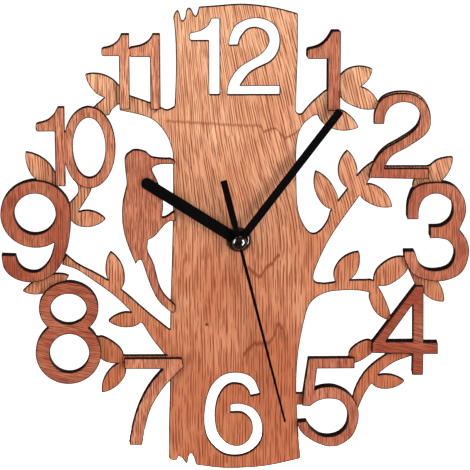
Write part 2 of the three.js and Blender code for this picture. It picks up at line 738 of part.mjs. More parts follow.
function rotor() {
  const pinion = driver('rotor', 'intermediate', rotorAxis, intermediateAxis, alone(intermediateLayer));
  const magnetFront = plateLayer[0] + turnGap;
  const body = disc(magnet.radius, magnetFront + magnet.length, magnetFront, rotorAxis, tubeSides);
  return join(pivot(rotorAxis), pinion, body);
}

function intermediateWheel() {
  const wheel = driven('intermediate', 'rotor', intermediateAxis, rotorAxis, intermediateLayer);
  const height = pinionHeight(intermediateLayer, secondLayer);
  const pinion = driver('intermediatePinion', 'second', intermediateAxis, arbor, height);
  return join(pivot(intermediateAxis), wheel, pinion);
}

function secondWheel() {
  const wheel = driven('second', 'intermediatePinion', arbor, intermediateAxis, secondLayer);
  const pinion = driver('secondPinion', 'third', arbor, thirdAxis, pinionHeight(secondLayer, thirdLayer));
  return join(disc(shaftRadius, pivotBack, secondFront, arbor, pinSides), wheel, pinion);
}

function thirdWheel() {
  const wheel = driven('third', 'secondPinion', thirdAxis, arbor, thirdLayer);
  const pinion = driver('thirdPinion', 'centre', thirdAxis, arbor, pinionHeight(thirdLayer, centreLayer));
  return join(pivot(thirdAxis), wheel, pinion);
}

function centreWheel() {
  const wheel = driven('centre', 'thirdPinion', arbor, thirdAxis, centreLayer);
  const hub = disc(minuteTube.body, centreLayer[0], pivotFront, arbor, tubeSides);
  return cut(join(wheel, hub), disc(minuteTube.bore, 0, beyond, arbor, pinSides));
}

function minuteTubePiece() {
  const pinion = driver('minutePinion', 'setting', arbor, settingAxis, alone(settingLayer));
  const body = disc(minuteTube.body, plateLayer[1], minuteBack, arbor, tubeSides);
  const seat = disc(minuteTube.seat, minuteBack, minuteFront, arbor, tubeSides);
  return cut(join(body, seat, pinion), disc(minuteTube.bore, 0, beyond, arbor, pinSides));
}

function settingWheel() {
  const wheel = driven('setting', 'minutePinion', settingAxis, arbor, settingLayer);
  const pinion = driver('settingPinion', 'hour', settingAxis, arbor, pinionHeight(settingLayer, hourLayer));
  const back = -(knob.sink + knob.height);
  return join(disc(settingArborRadius, back, roomFront + turnGap, settingAxis, pinSides), wheel, pinion);
}

function hourWheel() {
  const wheel = driven('hour', 'settingPinion', arbor, settingAxis, hourLayer);
  const body = disc(hourTube.body, hourLayer[0], hourBack, arbor, roundSides);
  const seat = disc(hourTube.seat, hourBack, hourFront, arbor, roundSides);
  return cut(join(wheel, body, seat), disc(hourTube.bore, 0, beyond, arbor, tubeSides));
}

// The ribbed knob at the back that sets the hands, with a notch across its face.
function setKnob() {
  const { x, z } = settingAxis;
  const points = [];
  for (let step = 0; step < knob.ribs * 2; step += 1) {
    const turn = (step / knob.ribs) * Math.PI;
    const radius = knob.radius - (step % 2) * knob.groove;
    points.push(new THREE.Vector2(x + radius * Math.cos(turn), z + radius * Math.sin(turn)));
  }
  const grip = plate(new THREE.Shape(points), -knob.sink, -knob.sink - knob.height);
  const { radius, slotHalf } = knob;
  const notch = box(x - radius, x + radius, -knob.sink - knob.slotDepth, 0, z - slotHalf, z + slotHalf);
  return cut(grip, notch);
}

// Case and fixed pieces of the movement

function bay(back) {
  return box(-inside, inside, roomFront, back, bayFloor, bayTop);
}

function casePlate(back, front) {
  const shape = roundedRectangle(-caseHalf, caseHalf, caseBottom, caseTop, caseCorner);
  return plate(shape, back, front, cornerSteps);
}

function movementCase() {
  const block = casePlate(-coverThickness, -caseDepth);
  const neck = disc(neckRadius, -caseDepth, neckFront);
  const trainRoom = box(-inside, inside, roomFront, 0, trainFloor, roomTop);
  return cut(join(block, neck), bay(0), trainRoom, disc(neckBore, 0, beyond));
}

function rearCover() {
  const knobHole = disc(knob.radius + slideGap, caseWall, roomFront, settingAxis);
  return cut(casePlate(0, -coverThickness), bay(caseWall), knobHole);
}

function hangerEye() {
  const half = eye.width / 2;
  const slotHalf = eye.slotWidth / 2;
  const slotFoot = caseTop + (eye.rise - eye.slotHeight) / 2;
  const shape = roundedRectangle(-half, half, caseTop, caseTop + eye.rise, eye.corner);
  shape.holes = [roundedRectangle(-slotHalf, slotHalf, slotFoot, slotFoot + eye.slotHeight, eye.slotCorner)];
  return plate(shape, 0, -coverThickness, cornerSteps);
}

function batteryCell() {
  const start = -cellHalf;
  const end = start + battery.length;
  const inner = battery.radius - battery.chamfer;
  return turnedAlongX([
    [0, start], [inner, start], [battery.radius, start + battery.chamfer],
    [battery.radius, end - battery.chamfer], [inner, end],
    [battery.nubRadius, end], [battery.nubRadius, cellHalf], [0, cellHalf],
  ], batteryY, batteryZ);
}

// A contact blade on an end wall of the bay, with a stud that reaches to the cell. side is -1 or 1.
function contactBlade(side) {
  const half = battery.radius - contact.inset;
  const between = (from, to, size) => box(
    Math.min(side * from, side * to), Math.max(side * from, side * to),
    batteryY - size, batteryY + size, batteryZ - size, batteryZ + size,
  );
  const face = inside - contact.thickness;
  return join(between(face, inside, half), between(face - contact.stud, face, contact.studHalf));
}

function trainPlate() {
  const edge = inside - slideGap;
  const sheet = box(-edge, edge, plateLayer[1], plateLayer[0], trainFloor + slideGap, roomTop - slideGap);
  const hole = (radius, axis, sides) => disc(radius, 0, -caseDepth, axis, sides);
  return cut(
    sheet,
    hole(minuteTube.body + turnGap, arbor, tubeSides),
    hole(settingArborRadius + fitGap, settingAxis, pinSides),
    ...[rotorAxis, intermediateAxis, thirdAxis].map((axis) => hole(pivotRadius + fitGap, axis, pinSides)),
  );
}

const statorLeft = stator.margin - inside;

function statorPlate() {
  const [back, front] = [plateLayer[0] + stator.thickness, plateLayer[0]];
  const barFoot = rotorAxis.z + stator.barRise;
  const barTop = barFoot + stator.bar;
  const bar = box(statorLeft, stator.right, front, back, barFoot, barTop);
  const legs = [statorLeft, stator.right - stator.leg].map((foot) => (
    box(foot, foot + stator.leg, front, back, barTop, stator.top)));
  const around = disc(stator.ring, back, front, rotorAxis);
  return cut(join(around, bar, ...legs), disc(magnet.radius + slideGap, 0, -caseDepth, rotorAxis));
}

// The coil lies between the stator's legs and fills the depth behind the train plate.
function driveCoil() {
  const flange = (-coverThickness - plateLayer[0]) / 2 - slideGap;
  const wire = flange - coil.spool;
  const from = statorLeft + stator.leg + slideGap;
  const to = stator.right - stator.leg - slideGap;
  const [wireFrom, wireTo] = [from + coil.flangeWidth, to - coil.flangeWidth];
  return turnedAlongX([
    [0, from], [flange, from], [flange, wireFrom], [wire, wireFrom],
    [wire, wireTo], [flange, wireTo], [flange, to], [0, to],
  ], plateLayer[0] + slideGap + flange, stator.top - flange);
}

const circuitBack = -(coverThickness + circuit.rise);
const circuitFront = circuitBack - circuit.thickness;
const circuitTop = roomTop - slideGap;
const circuitFoot = circuitTop - circuit.height;

function circuitBoard() {
  return box(circuit.left, inside - slideGap, circuitFront, circuitBack, circuitFoot, circuitTop);
}

function quartzCrystal() {
  const end = crystal.start + crystal.length;
  const profile = [[0, crystal.start], [crystal.radius, crystal.start], [crystal.radius, end], [0, end]];
  return turnedAlongX(profile, circuitFront - slideGap - crystal.radius, (circuitFoot + circuitTop) / 2);
}

addPart('movement_case', movementCase(), finishes.case);
addPart('rear_cover', rearCover(), finishes.case);
addPart('hanger_eye', hangerEye(), finishes.steel);
addPart('battery_cell', batteryCell(), finishes.cell);
addPart('contact_negative', contactBlade(-1), finishes.steel);
addPart('contact_positive', contactBlade(1), finishes.steel);
addPart('train_plate', trainPlate(), finishes.gear);
addPart('stator_plate', statorPlate(), finishes.steel);
addPart('drive_coil', driveCoil(), finishes.copper);
addPart('circuit_board', circuitBoard(), finishes.circuit);
addPart('quartz_crystal', quartzCrystal(), finishes.steel);
addPart('rotor', rotor(), finishes.gear);
addPart('intermediate_wheel', intermediateWheel(), finishes.gear);
addPart('second_wheel', secondWheel(), finishes.gear);
addPart('third_wheel', thirdWheel(), finishes.gear);
addPart('centre_wheel', centreWheel(), finishes.gear);
addPart('minute_tube', minuteTubePiece(), finishes.brass);
addPart('setting_wheel', settingWheel(), finishes.gear);
addPart('set_knob', setKnob(), finishes.case);
addPart('hour_wheel', hourWheel(), finishes.gear);

export default clock;
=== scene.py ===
"""Finishes, small parts and the studio for a tree-shaped wall clock cut from thin board."""
import math

import bmesh
import bpy
from mathutils import Matrix, Vector, geometry
from mathutils.kdtree import KDTree


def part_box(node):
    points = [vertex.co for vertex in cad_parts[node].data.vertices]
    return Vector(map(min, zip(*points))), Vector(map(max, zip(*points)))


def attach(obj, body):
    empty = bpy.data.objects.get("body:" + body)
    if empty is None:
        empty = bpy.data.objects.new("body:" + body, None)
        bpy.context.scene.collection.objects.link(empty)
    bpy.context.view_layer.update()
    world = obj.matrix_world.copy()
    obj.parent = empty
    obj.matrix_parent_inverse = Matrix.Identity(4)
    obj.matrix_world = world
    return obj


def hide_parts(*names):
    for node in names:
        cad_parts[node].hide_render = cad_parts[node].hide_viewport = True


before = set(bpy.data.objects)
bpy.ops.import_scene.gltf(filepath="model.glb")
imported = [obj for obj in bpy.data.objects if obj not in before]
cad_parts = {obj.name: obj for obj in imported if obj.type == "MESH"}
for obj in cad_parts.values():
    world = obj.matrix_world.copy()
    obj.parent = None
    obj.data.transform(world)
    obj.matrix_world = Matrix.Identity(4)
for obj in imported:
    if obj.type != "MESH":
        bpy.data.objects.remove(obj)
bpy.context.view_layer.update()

bl_info = {
    "name": "Tree Wall Clock",
    "version": (1, 0, 0),
    "blender": (4, 5, 0),
    "location": "View3D > Sidebar > Clock",
    "description": "Dresses the parts of a wooden wall clock and lights them",
    "category": "Object",
}

MM = 0.001
QUARTER = math.pi / 2
MERGE = 1e-6                                 # closer corners are one corner
SHARP = math.radians(32)                     # faces that meet at a larger angle have a sharp edge
CORNER = math.radians(38)                    # an outline that turns by more has a corner there
FINE_TURN = math.radians(5)                  # how far a curve turns from point to point
STRAIGHT = 10 * MM                           # a longer step of an outline is a straight line
FAR_LONGER = 2.5                             # so is one this many times as long as its neighbours
CORNER_SHARE = 0.4                           # a corner's rounding takes at most this of a step
CORNER_CLEAR = 0.12                          # share of a step that a curve keeps off a corner
FLAT = 9 * MM * MM                           # a larger face of an eased piece is shaded flat
# The inner points of the burnt rim, in widths of the rim: the spacing of the points that stand for
# the outline, their own spacing, and how far off the outline they are at least
RIM_SEARCH, RIM_SPACING, RIM_CLEAR = 0.3, 1.2, 0.93
BLADE_FROM, BLADE_HALF = 2.5 * MM, 1.5 * MM  # where the second hand's blade starts; its half width
NECK_RADIUS = 4.05 * MM                      # of the threaded neck, over its thread
NECK_PLAY = 0.2 * MM                         # round the neck, in the nut and the washers

# How deep each board is stained: 0 is the light colour of its wood, 1 the deep one.
BOARDS = {
    "tree_panel": 0, "numeral_1": 0.55, "numeral_2": 0.6, "numeral_3": 0.65, "numeral_4": 1.0,
    "numeral_5": 0.65, "numeral_7": 0.35, "numeral_8": 0.75, "numeral_9": 0.75,
    "numeral_10": 0.3, "numeral_11": -0.15, "woodpecker": 0.45,
}
ACROSS = ("numeral_8", "numeral_4")          # their grain runs from side to side
NO_FOOT_SHADE = ("tree_panel", "numeral_2")          # no painted shade is laid at their foot
# How far the panel draws in under each figure, between which shares of the figure's height
TUCKED = {
    "woodpecker": (0.75 * MM, 0, 1), "numeral_3": (0.45 * MM, 0, 1),
    "numeral_4": (0.5 * MM, 0, 1), "numeral_5": (0.75 * MM, 0.8, 1),
    "numeral_7": (1.2 * MM, 0, 0.9), "numeral_8": (0.5 * MM, 0, 1),
    "numeral_9": (0.35 * MM, 0, 1), "numeral_10": (0.5 * MM, 0, 1),
    "numeral_11": (0.4 * MM, 0, 1),
}
TUCK_REACH, TUCK_FADE = 1.8 * MM, 0.6 * MM   # how far from the figure's edge, with a faded end
TUCK_SPACING = 0.3 * MM                      # between the points that stand for that edge

NOISE_LOW, NOISE_HIGH = 0.3, 0.7             # between them lies most of a noise
# The veneer's layers of noise: how fine across and along the grain, in pores, and their detail
GRAIN = {
    "fibre": (0.75, 0.02, 3), "dash": (0.36, 0.06, 2), "fleck": (1.5, 0.06, 1),
    "band": (0.14, 0.008, 1), "cloud": (0.022, 0.018, 2),
}
NUMERAL_SHEET = (0.037, 0.02, 0.011)         # where in the veneer the numerals were cut
NUMERAL_PORE = 0.62                          # the numerals' pores, as a share of the panel's
ACROSS_TURN = math.radians(78)               # of the veneer of the numerals in ACROSS
WANDER, WANDER_ACROSS = 5 * MM, 12 * MM      # how far the grain wanders, and in those numerals
LEAN = 0.25                                  # of the panel's grain, growing over these X and Z
LEAN_X, LEAN_Z = (-60 * MM, 15 * MM), (-20 * MM, 50 * MM)
TONE_TOP, TONE_FOOT = 120 * MM, -90 * MM     # the panel is light above one, deep below the other
UNEVEN = 0.22                                # how far clouds shift the tone
ROWS, ROW_BEND = 0.6, 2                      # rows in a pore's width, and how far bands bend them
# Lines that run across the panel's grain, as points of the dial in mm, with width and strength
SEAMS = [
    ([(-43, 72.6), (-29, 71.5), (-5, 69.7), (14, 69)], 1.3, 0.65),
    ([(13, 69), (15, 65), (18, 66.8), (21.7, 67.7), (25.9, 63.3), (28.4, 61.4), (36, 66)],
     1.2, 0.85),
    ([(-35.4, 58.7), (-32.7, 51.5), (-29.6, 45.8), (-28.1, 42.2)], 1.6, 0.5),
    ([(5.6, -17.1), (9.5, -21.5), (13.3, -23.7), (16.8, -17.1), (20.2, -15.3), (23.2, -10.9),
      (25, -10)], 2.2, 1.0),
    ([(2.6, -73.8), (5.2, -68.9), (9.5, -65.8), (13.3, -64.9), (18.5, -65.4), (21.5, -60.5),
      (23.2, -54.3), (24.5, -53.4), (27.5, -57.8), (28.8, -64), (30.1, -74.7), (30.8, -81.7)],
     2.5, 1.0),
]
SEAM_JUMP = 0.45                             # how far a seam jumps, as a share of its width
KNOT = (-19.3, -52.9)                        # the small knot in the trunk, in mm

# The camera at the photo's viewing angle, in metres, and its lens in millimetres
VIEW_TARGET = (-0.00219, -0.01996, 0.00259)
VIEW_FROM = (-0.06243, -1.37792, 0.33772)
VIEW_LENS = 179.0
FLOOR_HALF = 40                              # half the floor's side, in metres
FLOOR_GLOW = 0.85                            # what the camera sees the floor glow with
ROOM, MIRRORED_ROOM = 0.34, 0.06             # brightness of the room, and in the polished parts


def linear(code):
    """Linear RGBA of an sRGB hex code."""
    steps = [int(code[at:at + 2], 16) / 255 for at in (1, 3, 5)]
    return [s / 12.92 if s <= 0.04045 else ((s + 0.055) / 1.055) ** 2.4 for s in steps] + [1.0]


def shade(name, code):
    """A colour that a user can change."""
    return bpy.props.FloatVectorProperty(
        name=name, description=f"{name} of the finish", subtype="COLOR", size=4, min=0, max=1,
        default=linear(code))


def length(name, description, millimetres):
    """A size that a user can change."""
    return bpy.props.FloatProperty(
        name=name, description=description, unit="LENGTH", default=millimetres * MM, min=0)


class ClockFinish(bpy.types.PropertyGroup):
    """Colours of the finishes."""
    panel_light: shade("Panel, light wood", "#eeb68d")
    panel_deep: shade("Panel, deep wood", "#bb6b47")
    numeral_light: shade("Numerals, light wood", "#e89f79")
    numeral_deep: shade("Numerals, deep wood", "#9b442b")
    grain: shade("Grain lines", "#83391d")
    numeral_grain: shade("Numerals' grain lines", "#63200f")
    # the burnt edge's colour, also used for the painted shade at the foot of glued figures
    char: shade("Burnt edge", "#1c0d08")
    raw_board: shade("Raw board", "#9c7350")
    hand: shade("Hand lacquer", "#020101")
    gloss: shade("Black nickel", "#7c7976")
    housing: shade("Housing plastic", "#17171a")


class ClockSizes(bpy.types.PropertyGroup):
    """Sizes of the small work."""
    burnt_rim: length("Burnt rim", "Width of the burnt line round each face", 0.95)
    board_chamfer: length("Board edge", "Rounding of the boards' front edges", 0.1)
    cut_corner: length("Cut corner", "Rounding that the cut leaves at the boards' corners", 0.6)
    pore: length("Pore", "Width of the dark pores in the wood", 1.0)
    hand_edge: length("Hand edge", "Rounding of the hands' edges", 0.05)
    blade_gain: length("Blade gain", "What each side of the second hand's blade gains on the CAD",
                       0.15)
    housing_edge: length("Housing edge", "Rounding of the housing's edges", 0.35)
    thread_pitch: length("Thread pitch", "Pitch of the thread on the neck", 0.75)
    wire: length("Wire", "Drawn thickness of the coil's wire", 0.22)
    floor_depth: length("Floor", "How far the floor lies below the arbor", 600)


def add_node(tree, kind, inputs=None, **settings):
    """Adds a node with its settings, values and links."""
    node = tree.nodes.new(kind)
    for key, value in settings.items():
        setattr(node, key, value)
    for key, value in (inputs or {}).items():
        if isinstance(value, bpy.types.Node):
            value = value.outputs[0]
        if isinstance(value, bpy.types.NodeSocket):
            tree.links.new(value, node.inputs[key])
        else:
            node.inputs[key].default_value = value
    return node


def new_finish(name, colour, roughness, metallic=0.0, **sockets):
    """A material with its shader, whose single values sit on the shader's own sockets."""
    material = bpy.data.materials.new(name)
    material.use_nodes = True
    shader = material.node_tree.nodes["Principled BSDF"]
    shader.inputs["Base Color"].default_value = colour
    shader.inputs["Roughness"].default_value = roughness
    shader.inputs["Metallic"].default_value = metallic
    for key, value in sockets.items():
        shader.inputs[key.replace("_", " ")].default_value = value
    return material, material.node_tree, shader


def give_surface(tree, shader, colour, height, strength, depth, rough=None, **settings):
    """Gives a shader its colour, its relief of a depth in metres, and where it varies its
    roughness."""
    bump = add_node(tree, "ShaderNodeBump", {
        "Strength": strength, "Distance": depth, "Height": height}, **settings)
    tree.links.new(colour.outputs[2], shader.inputs["Base Color"])
    tree.links.new(bump.outputs[0], shader.inputs["Normal"])
    if rough:
        tree.links.new(rough.outputs[0], shader.inputs["Roughness"])


def seam_masks(tree, across, along, fibre):
    """How strongly each seam shows at a point of the panel. It jumps from fibre to fibre."""
    masks = []
    for points, width, strength in SEAMS:
        reach = SEAM_JUMP * width * MM
        jump = add_node(tree, "ShaderNodeMapRange", {
            0: fibre, 1: NOISE_LOW, 2: NOISE_HIGH, 3: -reach, 4: reach})
        height = add_node(tree, "ShaderNodeMath", {0: along, 1: jump}, operation="ADD")
        xs = [x for x, _ in points]
        zs = [z for _, z in points]
        first, last = xs[0] * MM, xs[-1] * MM
        spare = 1
        low, span = min(zs) - spare, max(zs) - min(zs) + 2 * spare
        run = add_node(tree, "ShaderNodeMapRange", {0: across, 1: first, 2: last})
        curve = add_node(tree, "ShaderNodeFloatCurve", {"Value": run})
        track = curve.mapping.curves[0]
        for x, z in points[1:-1]:
            track.points.new((x - xs[0]) / (xs[-1] - xs[0]), (z - low) / span)
        track.points[0].location = (0, (zs[0] - low) / span)
        track.points[-1].location = (1, (zs[-1] - low) / span)
        for point in track.points:
            point.handle_type = "VECTOR"
        curve.mapping.update()
        middle = add_node(tree, "ShaderNodeMapRange", {
            0: curve, 3: low * MM, 4: (low + span) * MM})
        away = add_node(tree, "ShaderNodeMath", {0: height, 1: middle}, operation="SUBTRACT")
        off = add_node(tree, "ShaderNodeMath", {0: away}, operation="ABSOLUTE")
        line = add_node(tree, "ShaderNodeMapRange", {
            0: off, 1: 0, 2: width * MM, 3: strength, 4: 0})
        start = add_node(tree, "ShaderNodeMath", {0: across, 1: first}, operation="GREATER_THAN")
        end = add_node(tree, "ShaderNodeMath", {0: across, 1: last}, operation="LESS_THAN")
        kept = add_node(tree, "ShaderNodeMath", {0: line, 1: start}, operation="MULTIPLY")
        masks.append(add_node(tree, "ShaderNodeMath", {0: kept, 1: end}, operation="MULTIPLY"))
    return masks


def grain_line(tree, turned, across, panel):
    """A place in the veneer: its X and Z, its X as the grain bends it, and the bent place. The
    panel's grain leans to the left in its upper right part, and all grain wanders a little."""
    axes = add_node(tree, "ShaderNodeSeparateXYZ", {0: turned})
    side, up = axes.outputs[0], axes.outputs[2]
    lean_x = add_node(tree, "ShaderNodeMapRange", {0: side, 1: LEAN_X[0], 2: LEAN_X[1]},
                      interpolation_type="SMOOTHSTEP")
    lean_z = add_node(tree, "ShaderNodeMapRange", {0: up, 1: LEAN_Z[0], 2: LEAN_Z[1]},
                      interpolation_type="SMOOTHSTEP")
    leaning = add_node(tree, "ShaderNodeMath", {0: lean_x, 1: lean_z}, operation="MULTIPLY")
    tilt = add_node(tree, "ShaderNodeMath", {0: leaning, 1: LEAN if panel else 0},
                    operation="MULTIPLY")
    shift = add_node(tree, "ShaderNodeMath", {0: tilt, 1: up}, operation="MULTIPLY")
    wander = add_node(tree, "ShaderNodeTexNoise", {"Vector": turned, "Scale": 14, "Detail": 4})
    drift = add_node(tree, "ShaderNodeMath", {0: wander, 1: WANDER_ACROSS if across else WANDER},
                     operation="MULTIPLY")
    moved = add_node(tree, "ShaderNodeMath", {0: side, 1: shift}, operation="ADD")
    line = add_node(tree, "ShaderNodeMath", {0: moved, 1: drift}, operation="ADD")
    grain = add_node(tree, "ShaderNodeCombineXYZ", {0: line, 1: axes.outputs[1], 2: up})
    return side, up, line, grain


def oak_veneer(name, light, deep, grain_colour, finish, pore_width, across=False, panel=False):
    """Oak veneer under satin lacquer, laser cut: straight open grain whose dark pores run as broken
    lines a millimetre wide, soft broad bands of tone, and a burnt line round every edge."""
    material, tree, shader = new_finish(name, light, 0.48, Specular_IOR_Level=0.22)
    place = add_node(tree, "ShaderNodeTexCoord")
    turned = add_node(tree, "ShaderNodeMapping", {
        "Vector": place.outputs["Object"],
        "Location": (0, 0, 0) if panel else NUMERAL_SHEET,
        "Rotation": (0, ACROSS_TURN if across else 0, 0)})
    side, up, line, grain = grain_line(tree, turned, across, panel)

    # Five layers of noise from places of their own, each drawn out along the grain by its measure
    step = 1 / pore_width
    noise = {}
    for number, (kind, (wide, tall, detail)) in enumerate(GRAIN.items()):
        drawn = add_node(tree, "ShaderNodeVectorMath", {0: grain, 1: (wide * step, 0, tall * step)},
                         operation="MULTIPLY")
        apart = add_node(tree, "ShaderNodeVectorMath", {0: drawn, 1: (7.3 * number, 3.1, 0)},
                         operation="ADD")
        noise[kind] = add_node(tree, "ShaderNodeTexNoise", {
            "Vector": apart, "Scale": 1, "Detail": detail})

    # Tone: lighter at the top of the panel; each numeral has its own.
    if panel:
        tone = add_node(tree, "ShaderNodeMapRange", {0: up, 1: TONE_TOP, 2: TONE_FOOT})
    else:
        own = add_node(tree, "ShaderNodeAttribute", attribute_name="tone")
        tone = add_node(tree, "ShaderNodeMapRange", {0: own.outputs["Fac"]})
    uneven = add_node(tree, "ShaderNodeMapRange", {
        0: noise["cloud"], 1: NOISE_LOW, 2: NOISE_HIGH, 3: -UNEVEN, 4: UNEVEN})
    toned = add_node(tree, "ShaderNodeMath", {0: tone, 1: uneven}, operation="ADD", use_clamp=True)

    # Rows of pores: lines at an even spacing, bent by the bands and broken up by the dashes
    bend = add_node(tree, "ShaderNodeMath", {0: noise["band"], 1: ROW_BEND}, operation="MULTIPLY")
    rows = add_node(tree, "ShaderNodeMath", {0: line, 1: ROWS * step, 2: bend},
                    operation="MULTIPLY_ADD")
    wave = add_node(tree, "ShaderNodeMath", {0: rows, 1: 0.5}, operation="PINGPONG")
    row = add_node(tree, "ShaderNodeMapRange", {0: wave, 1: 0.06, 2: 0.22, 3: 1, 4: 0})
    broken = add_node(tree, "ShaderNodeMapRange", {0: noise["dash"], 1: 0.42, 2: 0.56})
    pore = add_node(tree, "ShaderNodeMath", {0: row, 1: broken}, operation="MULTIPLY")

    # What lies on the light wood: where, and in which colour. The pores are grooves too.
    layers = [(toned, deep)]
    for mask, low, high, strength, colour in (
            (noise["fibre"], 0.46, 0.64, 0.6, deep), (noise["band"], 0.5, 0.7, 0.25, deep),
            (noise["fleck"], 0.55, 0.6, 0.6, grain_colour), (pore, 0.1, 0.6, 1, grain_colour)):
        groove = add_node(tree, "ShaderNodeMapRange", {0: mask, 1: low, 2: high, 4: strength})
        layers.append((groove, colour))
    if panel:
        layers += [(mask, grain_colour) for mask in seam_masks(tree, side, up, noise["fibre"])]
        flat = add_node(tree, "ShaderNodeCombineXYZ", {0: side, 2: up})
        knot = add_node(tree, "ShaderNodeVectorMath", {
            0: flat, 1: (KNOT[0] * MM, 0, KNOT[1] * MM)}, operation="DISTANCE")
        dot = add_node(tree, "ShaderNodeMapRange", {
            0: knot.outputs["Value"], 1: 0.5 * MM, 2: 1.5 * MM, 3: 0.85, 4: 0})
        layers.append((dot, finish.char))
    # The burnt line, ragged from fibre to fibre; on the panel it also carries the painted shade at
    # the foot of glued figures
    burnt = add_node(tree, "ShaderNodeAttribute", attribute_name="char")
    ragged = add_node(tree, "ShaderNodeMapRange", {
        0: noise["fibre"], 1: NOISE_LOW, 2: NOISE_HIGH, 3: -0.1, 4: 0.1})
    edge = add_node(tree, "ShaderNodeMath", {0: burnt.outputs["Fac"], 1: ragged}, operation="ADD")
    black = add_node(tree, "ShaderNodeMapRange", {0: edge, 1: 0.2, 2: 0.7},
                     interpolation_type="SMOOTHSTEP")
    layers.append((black, finish.char))
    under_it = light
    for mask, colour in layers:
        wood = add_node(tree, "ShaderNodeMix", {0: mask, 6: under_it, 7: colour}, data_type="RGBA")
        under_it = wood.outputs[2]

    rough = add_node(tree, "ShaderNodeMapRange", {
        0: noise["fibre"], 1: NOISE_LOW, 2: NOISE_HIGH, 3: 0.42, 4: 0.56})
    give_surface(tree, shader, wood, groove, 0.35, 0.06 * MM, rough, invert=True)
    return material


def burnt_edge(finish):
    """Laser-cut edge of fibreboard: nearly black soot, matt, with fine upright burn lines."""
    material, tree, shader = new_finish("laser_burnt_edge", finish.char, 0.9,
                                        Specular_IOR_Level=0.05)
    place = add_node(tree, "ShaderNodeTexCoord")
    lines = add_node(tree, "ShaderNodeVectorMath", {
        0: place.outputs["Object"], 1: (1400, 90, 1400)}, operation="MULTIPLY")
    soot = add_node(tree, "ShaderNodeTexNoise", {"Vector": lines, "Scale": 1, "Detail": 2})
    brown = add_node(tree, "ShaderNodeMapRange", {0: soot, 1: 0.5, 2: 0.75, 4: 0.25})
    tint = add_node(tree, "ShaderNodeMix", {0: brown, 6: finish.char, 7: finish.grain},
                    data_type="RGBA")
    give_surface(tree, shader, tint, soot, 0.4, 0.08 * MM)
    return material


def raw_board(finish):
    """Raw fibreboard on the back: pressed wood fibre, matt brown with fine short flecks."""
    material, tree, shader = new_finish("raw_fibreboard", finish.raw_board, 0.8)
    place = add_node(tree, "ShaderNodeTexCoord")
    fleck, blotch = (
        add_node(tree, "ShaderNodeTexNoise", {
            "Vector": place.outputs["Object"], "Scale": scale, "Detail": detail})
        for scale, detail in ((1500, 3), (60, 2)))
    both = add_node(tree, "ShaderNodeMath", {0: fleck, 1: blotch}, operation="ADD")
    amount = add_node(tree, "ShaderNodeMapRange", {0: both, 1: 0.8, 2: 1.25, 4: 0.45})
    tint = add_node(tree, "ShaderNodeMix", {0: amount, 6: finish.raw_board, 7: finish.grain},
                    data_type="RGBA")
    give_surface(tree, shader, tint, fleck, 0.3, 0.05 * MM)
    return material


def grained(name, colour, roughness, grit, spread=0.06, depth=0.00002, metallic=0.0,
            stretch=(1, 1, 1), **sockets):
    """A finish whose grit, in metres, shows in its roughness, tone and bump. stretch draws it out
    for a brushed or turned surface."""
    material, tree, shader = new_finish(name, colour, roughness, metallic, **sockets)
    place = add_node(tree, "ShaderNodeTexCoord")
    drawn = add_node(tree, "ShaderNodeVectorMath", {0: place.outputs["Object"], 1: stretch},
                     operation="MULTIPLY")
    specks = add_node(tree, "ShaderNodeTexNoise", {
        "Vector": drawn, "Scale": 1 / grit, "Detail": 3})
    rough = add_node(tree, "ShaderNodeMapRange", {
        0: specks, 1: NOISE_LOW, 2: NOISE_HIGH,
        3: max(roughness - spread, 0.02), 4: roughness + spread})
    paler = [min(channel * 1.35 + 0.004, 1) for channel in colour[:3]] + [1]
    tint = add_node(tree, "ShaderNodeMix", {0: specks, 6: colour, 7: paler}, data_type="RGBA")
    give_surface(tree, shader, tint, specks, 0.3, depth, rough)
    return material


def finishes(finish, sizes):
    """All the clock's materials by their short names."""
    stain = (finish.numeral_light, finish.numeral_deep, finish.numeral_grain, finish)
    numeral_pore = NUMERAL_PORE * sizes.pore
    return {
        # Oak-patterned veneer, lacquered: warm orange-brown with broken dark pores
        "panel": oak_veneer("oak_veneer_panel", finish.panel_light, finish.panel_deep,
                            finish.grain, finish, sizes.pore, panel=True),
        # The numerals' veneer is finer and stained redder
        "upright": oak_veneer("oak_veneer_upright", *stain, numeral_pore),
        "across": oak_veneer("oak_veneer_across", *stain, numeral_pore, across=True),
        "edge": burnt_edge(finish),
        "back": raw_board(finish),
        # Matt black lacquer on sheet aluminium: even, with a faint sheen
        "hand": grained("matt_black_lacquer", finish.hand, 0.55, 0.0004, 0.05,
                        Specular_IOR_Level=0.03),
        # Black nickel plating, polished: a dark mirror with sharp lamps and the wood round its foot
        "gloss": grained("black_nickel", finish.gloss, 0.07, 0.003, 0.02, 0.000002, metallic=1.0),
        # ABS, spark-eroded mould: fine even grain that breaks up the sheen
        "housing": grained("moulded_abs", finish.housing, 0.55, 0.0005, 0.08),
        # Nickel-plated sheet steel, brushed along X
        "sheet": grained("nickel_plated_steel", linear("#75787c"), 0.42, 0.0006, 0.08,
                         metallic=1.0, stretch=(0.06, 1, 1)),
        # Turned brass: fine rings round the axis
        "brass": grained("turned_brass", linear("#c9a558"), 0.28, 0.0004, 0.08,
                         metallic=1.0, stretch=(0.3, 4, 0.3)),
        # Moulded rubber: dull, dusty black
        "rubber": grained("moulded_rubber", linear("#1f1f20"), 0.85, 0.0008, 0.08),
        # Acetal gears: waxy off-white, satin
        "acetal": grained("moulded_acetal", linear("#e9e6dc"), 0.38, 0.0006, 0.05),
        # Enamelled copper wire: metal under a thin clear red-brown coat
        "wire": grained("enamelled_copper", linear("#b4623a"), 0.3, 0.0005, 0.06,
                        metallic=1.0, Coat_Weight=0.5),
        # Solder mask on glass-epoxy board: glossy green
        "board": grained("solder_mask", linear("#1f5a38"), 0.3, 0.0007, 0.06, Coat_Weight=0.3),
        # Shrink sleeve on the cell: plain slate blue, smooth
        "sleeve": grained("shrink_sleeve", linear("#3d4a58"), 0.25, 0.002, 0.05, Coat_Weight=0.4),
    }


KIT = {}


